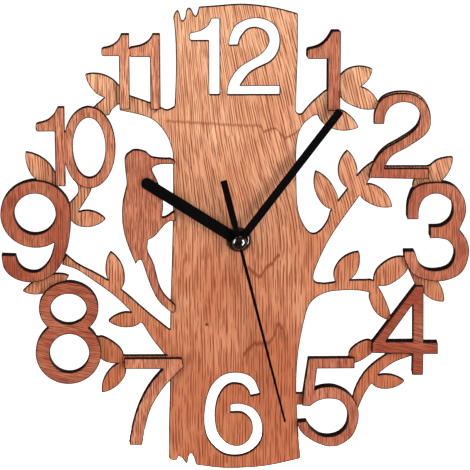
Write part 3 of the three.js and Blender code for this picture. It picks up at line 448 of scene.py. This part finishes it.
def kit():
    """The clock's materials by their short names, made when first asked for."""
    if not KIT:
        KIT.update(finishes(bpy.context.scene.clock_finish, bpy.context.scene.clock_sizes))
    return KIT


def put_in_scene(shape, name, finish_names, body, node):
    """Makes a shape a finished piece that rides on its body and stands for its node."""
    mesh = bpy.data.meshes.new(name)
    shape.to_mesh(mesh)
    shape.free()
    for finish_name in finish_names:
        mesh.materials.append(kit()[finish_name])
    piece = bpy.data.objects.new(name, mesh)
    bpy.context.scene.collection.objects.link(piece)
    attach(piece, body)
    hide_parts(node)


def softened(shape):
    """Smooth faces with sharp corners kept."""
    for face in shape.faces:
        face.smooth = True
    for edge in shape.edges:
        edge.smooth = len(edge.link_faces) == 2 and edge.calc_face_angle(math.pi) < SHARP


def merged(node):
    """A working copy of a node's mesh with its loose corners merged."""
    shape = bmesh.new()
    shape.from_mesh(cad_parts[node].data)
    bmesh.ops.remove_doubles(shape, verts=shape.verts[:], dist=MERGE)
    return shape


def front_loops(shape, front):
    """The closed outlines of a board's front face as [x, z] points, with the wood on their left."""
    flat = [face for face in shape.faces if all(abs(v.co.y - front) < MERGE for v in face.verts)]
    known = set(flat)
    after = {}
    for face in flat:
        for corner in face.loops:
            if sum(other in known for other in corner.edge.link_faces) == 1:
                after.setdefault(corner.vert, []).append(corner.link_loop_next.vert)
    loops = []
    while after:
        start = vertex = next(iter(after))
        loop = []
        while vertex in after:
            loop.append(Vector((vertex.co.x, vertex.co.z)))
            following = after[vertex].pop()
            if not after[vertex]:
                del after[vertex]
            vertex = following
            if vertex is start:
                break
        loops.append(loop)
    return loops


def steps_of(loops):
    """The steps of outlines, each from one point to the next."""
    return [(here, there) for loop in loops for here, there in zip(loop, loop[1:] + loop[:1])]


def straight_steps(loop):
    """For each step of an outline, whether it's a straight line."""
    lengths = [(there - here).length for here, there in steps_of([loop])]
    return [size > STRAIGHT or size > FAR_LONGER * max(before, after) for before, size, after in
            zip(lengths[-1:] + lengths, lengths, lengths[1:] + lengths[:1])]


def direction_at(before, here, after, from_line, to_line):
    """Direction of the curve through three points of an outline, or None at a corner."""
    back, ahead = here - before, after - here
    if back.angle(ahead, 0) > CORNER:
        return None
    if from_line and not to_line:
        return back.normalized()
    if to_line and not from_line:
        return ahead.normalized()
    return (back * ahead.length / back.length + ahead * back.length / ahead.length).normalized()


def curved(loop, corner):
    """An outline with its short steps drawn as a curve and its corners rounded by the cutter."""
    count = len(loop)
    lines = straight_steps(loop)
    ways = [direction_at(loop[at - 1], loop[at], loop[(at + 1) % count], lines[at - 1], lines[at])
            for at in range(count)]
    points = []
    for at in range(count):
        here, there = loop[at], loop[(at + 1) % count]
        way, next_way = ways[at], ways[(at + 1) % count]
        step = there - here
        if way is None:
            back = loop[at - 1] - here
            reach = min(corner, CORNER_SHARE * back.length, CORNER_SHARE * step.length)
            first, last = here + back.normalized() * reach, here + step.normalized() * reach
            points += [first.lerp(here, t).lerp(here.lerp(last, t), t)
                       for t in (0, 0.25, 0.5, 0.75, 1)]
        else:
            points.append(here)
        if lines[at] or (way is None and next_way is None):
            continue
        chord = step.normalized()
        leave = way or 2 * chord.dot(next_way) * chord - next_way
        arrive = next_way or 2 * chord.dot(way) * chord - way
        pieces = max(1, round(leave.angle(arrive, 0) / FINE_TURN))
        start = 0 if way else CORNER_CLEAR
        end = 1 if next_way else 1 - CORNER_CLEAR
        for piece in range(1, pieces):
            t = start + (end - start) * piece / pieces
            points.append((2 * t ** 3 - 3 * t * t + 1) * here + (3 * t * t - 2 * t ** 3) * there
                          + (t ** 3 - 2 * t * t + t) * step.length * leave
                          + (t ** 3 - t * t) * step.length * arrive)
    return points


def points_along(steps, spacing):
    """A search tree of points set along the steps of outlines."""
    points = []
    for here, there in steps:
        pieces = max(1, int((there - here).length / spacing))
        points += [here.lerp(there, part / pieces) for part in range(pieces)]
    tree = KDTree(len(points))
    for number, point in enumerate(points):
        tree.insert(point.to_3d(), number)
    tree.balance()
    return tree


def rim_points(loops, rim):
    """For each outline the points one rim inside it, wherever the wood is wide enough for them,
    each with the point of the outline that it belongs to."""
    tree = points_along(steps_of(loops), RIM_SEARCH * rim)
    found = []
    for loop in loops:
        found.append([])
        for here, there in steps_of([loop]):
            step = there - here
            side = Vector((-step.y, step.x)).normalized() * rim
            pieces = math.ceil(step.length / (RIM_SPACING * rim))
            for part in range(pieces):
                foot = here.lerp(there, (part + 0.5) / pieces)
                if tree.find((foot + side).to_3d())[2] > RIM_CLEAR * rim:
                    found[-1].append((foot + side, foot))
    return found


def tuck_under(loops, figure, depth, lowest, highest):
    """Draws the panel's outline in below the upper edges of a glued figure, so that from above less
    of the panel's burnt edge shows, as in the photo."""
    tops = [(here, there) for here, there in steps_of(figure) if there.x < here.x]
    tree = points_along(tops, TUCK_SPACING)
    heights = [point.y for loop in figure for point in loop]
    foot, rise = min(heights), max(heights) - min(heights)
    low, high = foot + lowest * rise - MM, foot + highest * rise + MM
    for loop in loops:
        moved = []
        for before, here, after in zip(loop[-1:] + loop[:-1], loop, loop[1:] + loop[:1]):
            way = (after - before).normalized()
            near = max((TUCK_REACH - tree.find(here.to_3d())[2]) / TUCK_FADE, 0)
            near = min(near, low < here.y < high)
            moved.append(here + Vector((-way.y, way.x)) * depth * near * max(-way.x, 0))
        loop[:] = moved


def under(point, figures):
    """Whether one of the glued figures lies over a point of the panel."""
    for loops, low, high in figures:
        if low.x < point.x < high.x and low.y < point.y < high.y:
            crossed = sum((here.y > point.y) != (there.y > point.y) and point.x < here.x
                          + (point.y - here.y) / (there.y - here.y) * (there.x - here.x)
                          for here, there in steps_of(loops))
            if crossed % 2:
                return True
    return False


def filled(loops, inner):
    """Triangles between the outlines, as points and corners, with the sides that lie on the
    outlines and the numbers of the inner points. The wood is where the outlines wind round a
    triangle."""
    all_triangles, closest = 0, 1e-4
    given = [point / MM for loop in loops for point in loop] + [point / MM for point in inner]
    edges = []
    for loop in loops:
        start = len(edges)
        edges += [(start + at, start + (at + 1) % len(loop)) for at in range(len(loop))]
    places, sides, faces, sources, origins, _ = geometry.delaunay_2d_cdt(
        given, edges, [], all_triangles, closest)
    gain = {}
    for (first, last), edge_numbers in zip(sides, origins):
        way = places[last] - places[first]
        gain[first, last] = sum(1 if way.dot(given[edges[at][1]] - given[edges[at][0]]) > 0 else -1
                                for at in edge_numbers)
        gain[last, first] = -gain[first, last]
    round_of = [list(zip(face, list(face[1:]) + [face[0]])) for face in faces]
    beside = {side: number for number, around in enumerate(round_of) for side in around}
    turns = {}
    waiting = [(number, gain[side]) for side, number in beside.items() if side[::-1] not in beside]
    while waiting:
        number, count = waiting.pop()
        if number not in turns:
            turns[number] = count
            waiting += [(beside[side[::-1]], count + gain[side[::-1]])
                        for side in round_of[number] if side[::-1] in beside]
    wood = {number for number, count in turns.items() if count > 0}
    walls = {side for number in wood for side in round_of[number]
             if beside.get(side[::-1]) not in wood}
    name = {old: new for new, olds in enumerate(sources) for old in olds}
    return ([point * MM for point in places], [faces[number] for number in sorted(wood)], walls,
            [name[len(edges) + at] for at in range(len(inner))])


def smooth_outlines(node, corner):
    """The smooth outlines of a board, kept inside its box."""
    rough = merged(node)
    low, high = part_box(node)
    loops = [curved(loop, corner) for loop in front_loops(rough, low.y)]
    rough.free()
    for loop in loops:
        for point in loop:
            point.x = min(max(point.x, low.x), high.x)
            point.y = min(max(point.y, low.z), high.z)
    return loops


def cut_board(node, loops, figures, rim, chamfer, stain):
    """A board cut along smooth outlines. A point attribute fades from the cut across the burnt rim
    of its front face. Where the rim runs under a glued figure, it stays dark all across, as painted
    shade at the figure's foot. The tone attribute holds the stain."""
    low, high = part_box(node)
    rims = rim_points(loops, rim)
    places, faces, walls, inner = filled(loops, [point for pairs in rims for point, _ in pairs])
    # Painted shade: inner rim points that lie under a glued figure, beside an outline that does
    # not, are made as dark as the cut. They stand in for the shade in the corner at the figure's
    # foot.
    covered = []
    for pairs in rims:
        strip = [under(point, figures) and not under(foot, figures) for point, foot in pairs]
        covered += [before and here and after for before, here, after in
                    zip(strip[-1:] + strip, strip, strip[1:] + strip[:1])]
    foot_shade_points = {number for number, dark in zip(inner, covered) if dark}
    on_cut = {corner for wall in walls for corner in wall}
    shape = bmesh.new()
    char = shape.verts.layers.float.new("char")
    tone = shape.verts.layers.float.new("tone")
    fronts, backs = [], []
    for number, place in enumerate(places):
        cut = number in on_cut
        fronts.append(shape.verts.new((place.x, low.y + (chamfer if cut else 0), place.y)))
        fronts[-1][char] = 1.0 if cut or number in foot_shade_points else 0.0
        backs.append(shape.verts.new((place.x, high.y, place.y)))
        backs[-1][char] = 1.0
    for face in faces:
        shape.faces.new([fronts[corner] for corner in face]).material_index = 0
        shape.faces.new([backs[corner] for corner in reversed(face)]).material_index = 2
    for first, last in walls:
        shape.faces.new([fronts[last], fronts[first], backs[first], backs[last]]).material_index = 1
    loose = [vertex for vertex in shape.verts if not vertex.link_faces]
    bmesh.ops.delete(shape, geom=loose, context="VERTS")
    for vertex in shape.verts:
        vertex[tone] = stain
    softened(shape)
    for face in shape.faces:
        face.smooth = face.material_index == 1
    return shape


class CLOCK_OT_boards(bpy.types.Operator):
    """Make the tree panel, the glued numerals and the bird"""
    bl_idname = "clock.boards"
    bl_label = "Boards"

    def execute(self, context):
        sizes = context.scene.clock_sizes
        outlines = {node: smooth_outlines(node, sizes.cut_corner) for node in BOARDS}
        for node, (depth, lowest, highest) in TUCKED.items():
            tuck_under(outlines["tree_panel"], outlines[node], depth, lowest, highest)
        # The glued figures, at whose foot the panel gets painted shade
        figures = []
        for node in BOARDS:
            if node not in NO_FOOT_SHADE:
                low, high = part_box(node)
                figures.append((outlines[node], low.xz, high.xz))
        for node, stain in BOARDS.items():
            panel = node == "tree_panel"
            face = "panel" if panel else "across" if node in ACROSS else "upright"
            shape = cut_board(node, outlines[node], figures if panel else [], sizes.burnt_rim,
                              sizes.board_chamfer, stain)
            put_in_scene(shape, node + "_veneered", (face, "edge", "back"), "root",
                         node)
        return {"FINISHED"}


def widen_blade(shape, gain):
    """Sets the long edges of a straight hand's blade apart."""
    tip = 0.999 * max(vertex.co.xz.length for vertex in shape.verts)
    ends = [vertex.co.xz for vertex in shape.verts if vertex.co.xz.length > tip]
    along = sum(ends, Vector((0, 0))).normalized()
    for vertex in shape.verts:
        side = vertex.co.x * along.y - vertex.co.z * along.x
        if vertex.co.xz.dot(along) > BLADE_FROM and abs(side) < BLADE_HALF:
            away = math.copysign(gain, side)
            vertex.co += Vector((away * along.y, 0, -away * along.x))


def eased(node, width, gain=0.0):
    """A node's shape with its blade widened by a gain and its sharp edges rounded inwards."""
    shape = merged(node)
    if gain:
        widen_blade(shape, gain)
    bmesh.ops.dissolve_limit(shape, angle_limit=math.radians(1), verts=shape.verts[:],
                             edges=shape.edges[:])
    sharp = [edge for edge in shape.edges
             if len(edge.link_faces) == 2 and edge.calc_face_angle(0) > SHARP]
    bmesh.ops.bevel(shape, geom=sharp, offset=width, segments=2, profile=0.5, affect="EDGES",
                    clamp_overlap=True)
    softened(shape)
    for face in shape.faces:
        face.smooth = face.calc_area() < FLAT
    return shape


def turned_piece(profile, sides=96):
    """A closed solid turned about the Y axis from [radius, y] corners that start and end on the
    axis or close on themselves."""
    shape = bmesh.new()
    on_axis = profile[0][0] == 0
    rings = []
    for radius, y in profile:
        if radius == 0:
            rings.append([shape.verts.new((0, y, 0))])
            continue
        rings.append([shape.verts.new((radius * math.sin(turn), y, radius * math.cos(turn)))
                      for turn in (2 * math.pi * step / sides for step in range(sides))])
    pairs = list(zip(rings, rings[1:])) + ([] if on_axis else [(rings[-1], rings[0])])
    for first, second in pairs:
        for step in range(sides):
            after = (step + 1) % sides
            corners = [first[step % len(first)], first[after % len(first)],
                       second[after % len(second)], second[step % len(second)]]
            unique = list(dict.fromkeys(corners))
            if len(unique) > 2:
                shape.faces.new(unique)
    bmesh.ops.recalc_face_normals(shape, faces=shape.faces[:])
    softened(shape)
    return shape


class CLOCK_OT_hands(bpy.types.Operator):
    """Make the three hands and the cap"""
    bl_idname = "clock.hands"
    bl_label = "Hands"

    def execute(self, context):
        sizes = context.scene.clock_sizes
        for hand in ("hour", "minute", "second"):
            node = hand + "_hand"
            gain = sizes.blade_gain if hand == "second" else 0
            put_in_scene(eased(node, sizes.hand_edge, gain), node + "_lacquered", ("hand",), hand,
                         node)
        # The cap: flat at the back with an eased edge, and domed a little fuller than an ellipse
        low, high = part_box("second_hand_cap")
        radius, height = high.x, high.y - low.y
        ease, rim, steps, fullness = 0.15 * MM, 0.16 * height, 18, 0.9
        profile = [(0, high.y), (radius - ease, high.y), (radius, high.y - ease),
                   (radius, high.y - rim)]
        for step in range(1, steps):
            turn = step / steps * QUARTER
            profile.append((radius * math.cos(turn) ** fullness,
                            high.y - rim - (height - rim) * math.sin(turn)))
        profile.append((0, low.y))
        put_in_scene(turned_piece(profile), "cap_polished", ("gloss",), "second",
                     "second_hand_cap")
        return {"FINISHED"}


def rounded(corners, radius, steps=5):
    """A closed run of [radius, y] corners with each corner rounded."""
    points = []
    count = len(corners)
    for index, corner in enumerate(corners):
        here = Vector(corner)
        before = Vector(corners[index - 1]) - here
        after = Vector(corners[(index + 1) % count]) - here
        reach = min(radius, before.length * 0.45, after.length * 0.45)
        start, end = here + before.normalized() * reach, here + after.normalized() * reach
        for step in range(steps + 1):
            t = step / steps
            points.append(tuple(start * (1 - t) ** 2 + here * 2 * t * (1 - t) + end * t ** 2))
    return points


def begin_tree(name, *inputs):
    """A tree of nodes and its inputs, the last three of which turn, move and dress the work."""
    tree = bpy.data.node_groups.new(name, "GeometryNodeTree")
    face = tree.interface
    face.new_socket("Geometry", in_out="OUTPUT", socket_type="NodeSocketGeometry")
    for label, kind in (*inputs, ("Turn", "Rotation"), ("Place", "Vector"), ("Finish", "Material")):
        face.new_socket(label, in_out="INPUT", socket_type="NodeSocket" + kind)
    return tree, add_node(tree, "NodeGroupInput").outputs


def end_tree(tree, given, work):
    """Turns, moves and dresses the work that a tree has made."""
    moved = add_node(tree, "GeometryNodeTransform", {
        "Geometry": work, "Rotation": given["Turn"], "Translation": given["Place"]})
    real = add_node(tree, "GeometryNodeRealizeInstances", {"Geometry": moved})
    dressed = add_node(tree, "GeometryNodeSetMaterial", {
        "Geometry": real, "Material": given["Finish"]})
    add_node(tree, "NodeGroupOutput", {"Geometry": dressed})
    return tree


def wound_tree():
    """A wire wound on a core, its turns at a steady pitch along Z."""
    tree, given = begin_tree("wound_wire", ("Turns", "Float"), ("Core", "Float"),
                             ("Length", "Float"), ("Wire", "Float"))
    path = add_node(tree, "GeometryNodeCurveSpiral", {
        "Resolution": 28, "Rotations": given["Turns"], "Start Radius": given["Core"],
        "End Radius": given["Core"], "Height": given["Length"]})
    section = add_node(tree, "GeometryNodeCurvePrimitiveCircle", {
        "Resolution": 6, "Radius": given["Wire"]})
    wire = add_node(tree, "GeometryNodeCurveToMesh", {
        "Curve": path, "Profile Curve": section, "Fill Caps": True})
    return end_tree(tree, given, wire)


def ribs_tree():
    """Ribs in a ring, upright on it along Z."""
    tree, given = begin_tree("ring_of_ribs", ("Count", "Int"), ("Ring", "Float"), ("Rib", "Float"),
                             ("Height", "Float"))
    ring = add_node(tree, "GeometryNodeMeshCircle", {
        "Vertices": given["Count"], "Radius": given["Ring"]})
    rib = add_node(tree, "GeometryNodeMeshCylinder", {
        "Vertices": 10, "Radius": given["Rib"], "Depth": given["Height"]})
    ribs = add_node(tree, "GeometryNodeInstanceOnPoints", {"Points": ring, "Instance": rib})
    return end_tree(tree, given, ribs)


def grown(name, tree, body, values):
    """The mesh that a tree of nodes makes from its values, as a piece of its own."""
    piece = bpy.data.objects.new(name, bpy.data.meshes.new(name + "_start"))
    bpy.context.scene.collection.objects.link(piece)
    modifier = piece.modifiers.new("grow", "NODES")
    modifier.node_group = tree
    sockets = {item.name: item.identifier for item in tree.interface.items_tree
               if item.in_out == "INPUT"}
    for label, value in values.items():
        modifier[sockets[label]] = value
    bpy.context.view_layer.update()
    result = piece.evaluated_get(bpy.context.evaluated_depsgraph_get())
    mesh = bpy.data.meshes.new_from_object(result)
    piece.modifiers.remove(modifier)
    shape = bmesh.new()
    shape.from_mesh(mesh)
    if not shape.faces:
        raise RuntimeError(f"{name} came out empty")
    bmesh.ops.recalc_face_normals(shape, faces=shape.faces[:])
    softened(shape)
    shape.to_mesh(mesh)
    shape.free()
    piece.data = mesh
    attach(piece, body)


class CLOCK_OT_fixing(bpy.types.Operator):
    """Make the nut, the washers and the thread that hold the movement to the panel"""
    bl_idname = "clock.fixing"
    bl_label = "Fixing"

    def execute(self, context):
        sizes = context.scene.clock_sizes
        low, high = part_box("fixing_nut")
        radius, back, front = high.x, high.y, low.y
        bore = NECK_RADIUS + NECK_PLAY
        ease = 0.3 * MM
        profile = rounded([
            (bore, back), (radius, back), (radius, back - 0.95 * MM),
            (radius - 0.7 * MM, back - 1.75 * MM), (radius - 1.9 * MM, front),
            (bore + ease, front), (bore, front + ease)], ease)
        put_in_scene(turned_piece(profile), "nut_polished", ("gloss",), "root",
                     "fixing_nut")
        edge = 0.12 * MM
        for node, finish, slot in (("dial_washer", "sheet", "steel"),
                                   ("rubber_washer", "rubber", "rubber")):
            low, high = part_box(node)
            profile = rounded([
                (bore, high.y), (high.x, high.y), (high.x, low.y), (bore, low.y)], edge)
            put_in_scene(turned_piece(profile), node + "_turned", (finish,), "root", node)
        start, turns, ridge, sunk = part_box("movement_case")[0].y, 3.2, 0.14 * MM, 0.02 * MM
        grown("neck_thread", wound_tree(), "root", {
            "Turns": turns, "Core": NECK_RADIUS - sunk, "Length": turns * sizes.thread_pitch,
            "Wire": ridge, "Turn": (QUARTER, 0, 0), "Place": (0, start + 2.75 * MM, 0),
            "Finish": kit()["housing"]})
        return {"FINISHED"}


def ribbed_knob():
    """The knob that sets the hands: a dished disc with ribs round its rim."""
    low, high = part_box("set_knob")
    middle = (low + high) / 2
    rib, dish, edge = 0.27 * MM, 0.35 * MM, 0.1 * MM
    disc = (high.x - low.x) / 2 - rib
    profile = [(0, low.y), (disc - edge, low.y), (disc, low.y + edge), (disc, high.y - edge),
               (disc - edge, high.y), (disc - 1 * MM, high.y), (disc - 1.3 * MM, high.y - dish),
               (0, high.y - dish)]
    shape = turned_piece(profile, 64)
    bmesh.ops.translate(shape, vec=(middle.x, 0, middle.z), verts=shape.verts[:])
    put_in_scene(shape, "knob_dished", ("housing",), "setting", "set_knob")
    sunk = 0.01 * MM
    grown("knob_ribs", ribs_tree(), "setting", {
        "Count": 36, "Ring": disc, "Rib": rib - sunk, "Height": high.y - low.y - 2 * edge,
        "Turn": (QUARTER, 0, 0), "Place": tuple(middle), "Finish": kit()["housing"]})


def sleeved_cell():
    """The cell: a sleeve that laps over both rims, a plate at each end and the nub."""
    low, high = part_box("battery_cell")
    radius = (high.z - low.z) / 2
    middle = (low + high) / 2
    start, end, nub = low.x, high.x - 1 * MM, high.x
    profile = [
        (0, start + 0.25 * MM), (4.2 * MM, start + 0.25 * MM), (4.4 * MM, start),
        (5.9 * MM, start), (6.1 * MM, start + 0.2 * MM), (radius - 0.45 * MM, start + 0.1 * MM),
        (radius, start + 0.5 * MM), (radius, end - 0.5 * MM), (radius - 0.4 * MM, end),
        (5.2 * MM, end), (4.9 * MM, end - 0.2 * MM), (2.9 * MM, end - 0.2 * MM), (2.7 * MM, end),
        (2.7 * MM, nub - 0.25 * MM), (2.45 * MM, nub), (0, nub)]
    plate = 6.3 * MM
    shape = turned_piece(profile, 64)
    for face in shape.faces:
        centre = face.calc_center_median()
        face.material_index = 0 if math.hypot(centre.x, centre.z) > plate else 1
    lying = Matrix.Translation((0, middle.y, middle.z)) @ Matrix.Rotation(-QUARTER, 4, "Z")
    bmesh.ops.transform(shape, matrix=lying, verts=shape.verts[:])
    put_in_scene(shape, "cell_sleeved", ("sleeve", "sheet"), "battery",
                 "battery_cell")


class CLOCK_OT_movement(bpy.types.Operator):
    """Make the movement's housing, the cell, its contacts, the knob and the hanger eye"""
    bl_idname = "clock.movement"
    bl_label = "Movement"

    def execute(self, context):
        shell = context.scene.clock_sizes.housing_edge
        for node, finish, slot, edge in (
                ("movement_case", "housing", "case_plastic", shell),
                ("rear_cover", "housing", "case_plastic", shell),
                ("hanger_eye", "sheet", "steel", 0.15 * MM),
                ("contact_negative", "sheet", "steel", 0.1 * MM),
                ("contact_positive", "sheet", "steel", 0.1 * MM)):
            put_in_scene(eased(node, edge), node + "_finished", (finish,), "root", node)
        ribbed_knob()
        sleeved_cell()
        return {"FINISHED"}


class CLOCK_OT_train(bpy.types.Operator):
    """Dress the wheels, plates, coil and circuit inside the movement"""
    bl_idname = "clock.train"
    bl_label = "Gear train"

    def execute(self, context):
        wire = context.scene.clock_sizes.wire
        dress = {
            "acetal": ("rotor", "intermediate_wheel", "second_wheel", "third_wheel", "centre_wheel",
                       "setting_wheel", "hour_wheel", "train_plate"),
            "brass": ("minute_tube",),
            "sheet": ("stator_plate", "quartz_crystal"),
            "board": ("circuit_board",),
            "wire": ("drive_coil",),
        }
        for finish, nodes in dress.items():
            for node in nodes:
                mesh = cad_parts[node].data
                mesh.materials.clear()
                mesh.materials.append(kit()[finish])
        low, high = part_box("drive_coil")
        middle = (low + high) / 2
        flange, flange_rise = 0.8 * MM, 0.7 * MM
        run = high.x - low.x - 2 * flange - wire
        grown("coil_winding", wound_tree(), "root", {
            "Turns": run / wire, "Core": (high.z - low.z) / 2 - flange_rise, "Length": run,
            "Wire": wire / 2, "Turn": (0, QUARTER, 0),
            "Place": (low.x + flange + wire / 2, middle.y, middle.z), "Finish": kit()["wire"]})
        return {"FINISHED"}


def aimed(place, target):
    """Where an object stands to look from place at target."""
    direction = Vector(target) - Vector(place)
    return Matrix.Translation(place) @ direction.to_track_quat("-Z", "Y").to_matrix().to_4x4()


def seen_rays(tree):
    """The kinds of ray, and whether the camera sees the end of one, straight or through glass."""
    rays = add_node(tree, "ShaderNodeLightPath").outputs
    seen = add_node(tree, "ShaderNodeMath", {
        0: rays["Is Camera Ray"], 1: rays["Is Transmission Ray"]}, operation="MAXIMUM")
    return rays, seen


class CLOCK_OT_studio(bpy.types.Operator):
    """Make the floor, the lamps, the white surround and the camera"""
    bl_idname = "clock.studio"
    bl_label = "Studio"

    def execute(self, context):
        scene = context.scene
        depth = scene.clock_sizes.floor_depth
        mesh = bpy.data.meshes.new("floor")
        corners = [(-FLOOR_HALF, -FLOOR_HALF, -depth), (FLOOR_HALF, -FLOOR_HALF, -depth),
                   (FLOOR_HALF, FLOOR_HALF, -depth), (-FLOOR_HALF, FLOOR_HALF, -depth)]
        mesh.from_pydata(corners, [], [(0, 1, 2, 3)])
        floor = bpy.data.objects.new("floor", mesh)
        scene.collection.objects.link(floor)
        # Painted studio floor: matt white. Seen by the camera it glows a little, and keeps its
        # shadow. In the polished parts it is as dim as the room.
        paint = linear("#f2f2f0")
        material, tree, shader = new_finish("painted_floor", paint, 0.9)
        rays, seen = seen_rays(tree)
        glow = add_node(tree, "ShaderNodeMath", {0: seen, 1: FLOOR_GLOW}, operation="MULTIPLY")
        shader.inputs["Emission Color"].default_value = (1, 1, 1, 1)
        tree.links.new(glow.outputs[0], shader.inputs["Emission Strength"])
        dim = add_node(tree, "ShaderNodeMix", {
            0: rays["Is Glossy Ray"], 6: paint, 7: linear("#3a3a3a")}, data_type="RGBA")
        tree.links.new(dim.outputs[2], shader.inputs["Base Color"])
        mesh.materials.append(material)

        # The surround is white to the camera. What shines in the polished parts is a dim room and
        # the lamps.
        world = bpy.data.worlds.new("white_surround")
        world.use_nodes = True
        tree = world.node_tree
        rays, seen = seen_rays(tree)
        room = add_node(tree, "ShaderNodeMapRange", {
            0: rays["Is Glossy Ray"], 3: ROOM, 4: MIRRORED_ROOM})
        level = add_node(tree, "ShaderNodeMath", {0: room, 1: seen}, operation="MAXIMUM")
        tree.nodes["Background"].inputs["Color"].default_value = (1, 1, 1, 1)
        tree.links.new(level.outputs[0], tree.nodes["Background"].inputs["Strength"])
        scene.world = world

        # Each lamp's place, width, height and power. The polished parts don't show the top one.
        lamps = {
            "softbox_left": ((-1.25, -0.55, 0.3), 0.65, 1.1, 11),
            "softbox_right": ((1.0, -0.95, 0.15), 0.6, 1.0, 11),
            "softbox_low": ((0.75, -1.15, -0.55), 0.3, 0.3, 4.5),
            "softbox_top": ((0.1, -1.1, 1.3), 0.9, 0.6, 6),
            "softbox_back": ((0.3, 1.4, -0.25), 1.2, 0.8, 16),
        }
        for name, (place, wide, tall, power) in lamps.items():
            lamp = bpy.data.lights.new(name, "AREA")
            lamp.shape = "RECTANGLE"
            lamp.size, lamp.size_y, lamp.energy = wide, tall, power
            stand = bpy.data.objects.new(name, lamp)
            stand.visible_glossy = name != "softbox_top"
            scene.collection.objects.link(stand)
            stand.matrix_world = aimed(place, (0, 0, 0))

        camera = bpy.data.cameras.new("camera")
        camera.lens = VIEW_LENS
        camera.sensor_width = 36
        camera.clip_end = 200
        stand = bpy.data.objects.new("camera", camera)
        scene.collection.objects.link(stand)
        stand.matrix_world = aimed(VIEW_FROM, VIEW_TARGET)
        scene.camera = stand
        scene.view_settings.view_transform = "Standard"
        return {"FINISHED"}


class CLOCK_PT_panel(bpy.types.Panel):
    """The clock's settings and steps"""
    bl_label = "Tree Wall Clock"
    bl_idname = "CLOCK_PT_panel"
    bl_space_type = "VIEW_3D"
    bl_region_type = "UI"
    bl_category = "Clock"

    def draw(self, context):
        for group in (context.scene.clock_finish, context.scene.clock_sizes):
            box = self.layout.box()
            for name in group.__annotations__:
                box.prop(group, name)
        for step in STEPS:
            self.layout.operator(step.bl_idname)


STEPS = (CLOCK_OT_studio, CLOCK_OT_boards, CLOCK_OT_hands, CLOCK_OT_fixing, CLOCK_OT_movement,
         CLOCK_OT_train)
CLASSES = (ClockFinish, ClockSizes, *STEPS, CLOCK_PT_panel)


def register():
    for item in CLASSES:
        bpy.utils.register_class(item)
    bpy.types.Scene.clock_finish = bpy.props.PointerProperty(type=ClockFinish)
    bpy.types.Scene.clock_sizes = bpy.props.PointerProperty(type=ClockSizes)


def unregister():
    del bpy.types.Scene.clock_finish
    del bpy.types.Scene.clock_sizes
    for item in reversed(CLASSES):
        bpy.utils.unregister_class(item)


def main():
    register()
    bpy.ops.clock.studio()
    bpy.ops.clock.boards()
    bpy.ops.clock.hands()
    bpy.ops.clock.fixing()
    bpy.ops.clock.movement()
    bpy.ops.clock.train()


if __name__ == "__main__":
    main()
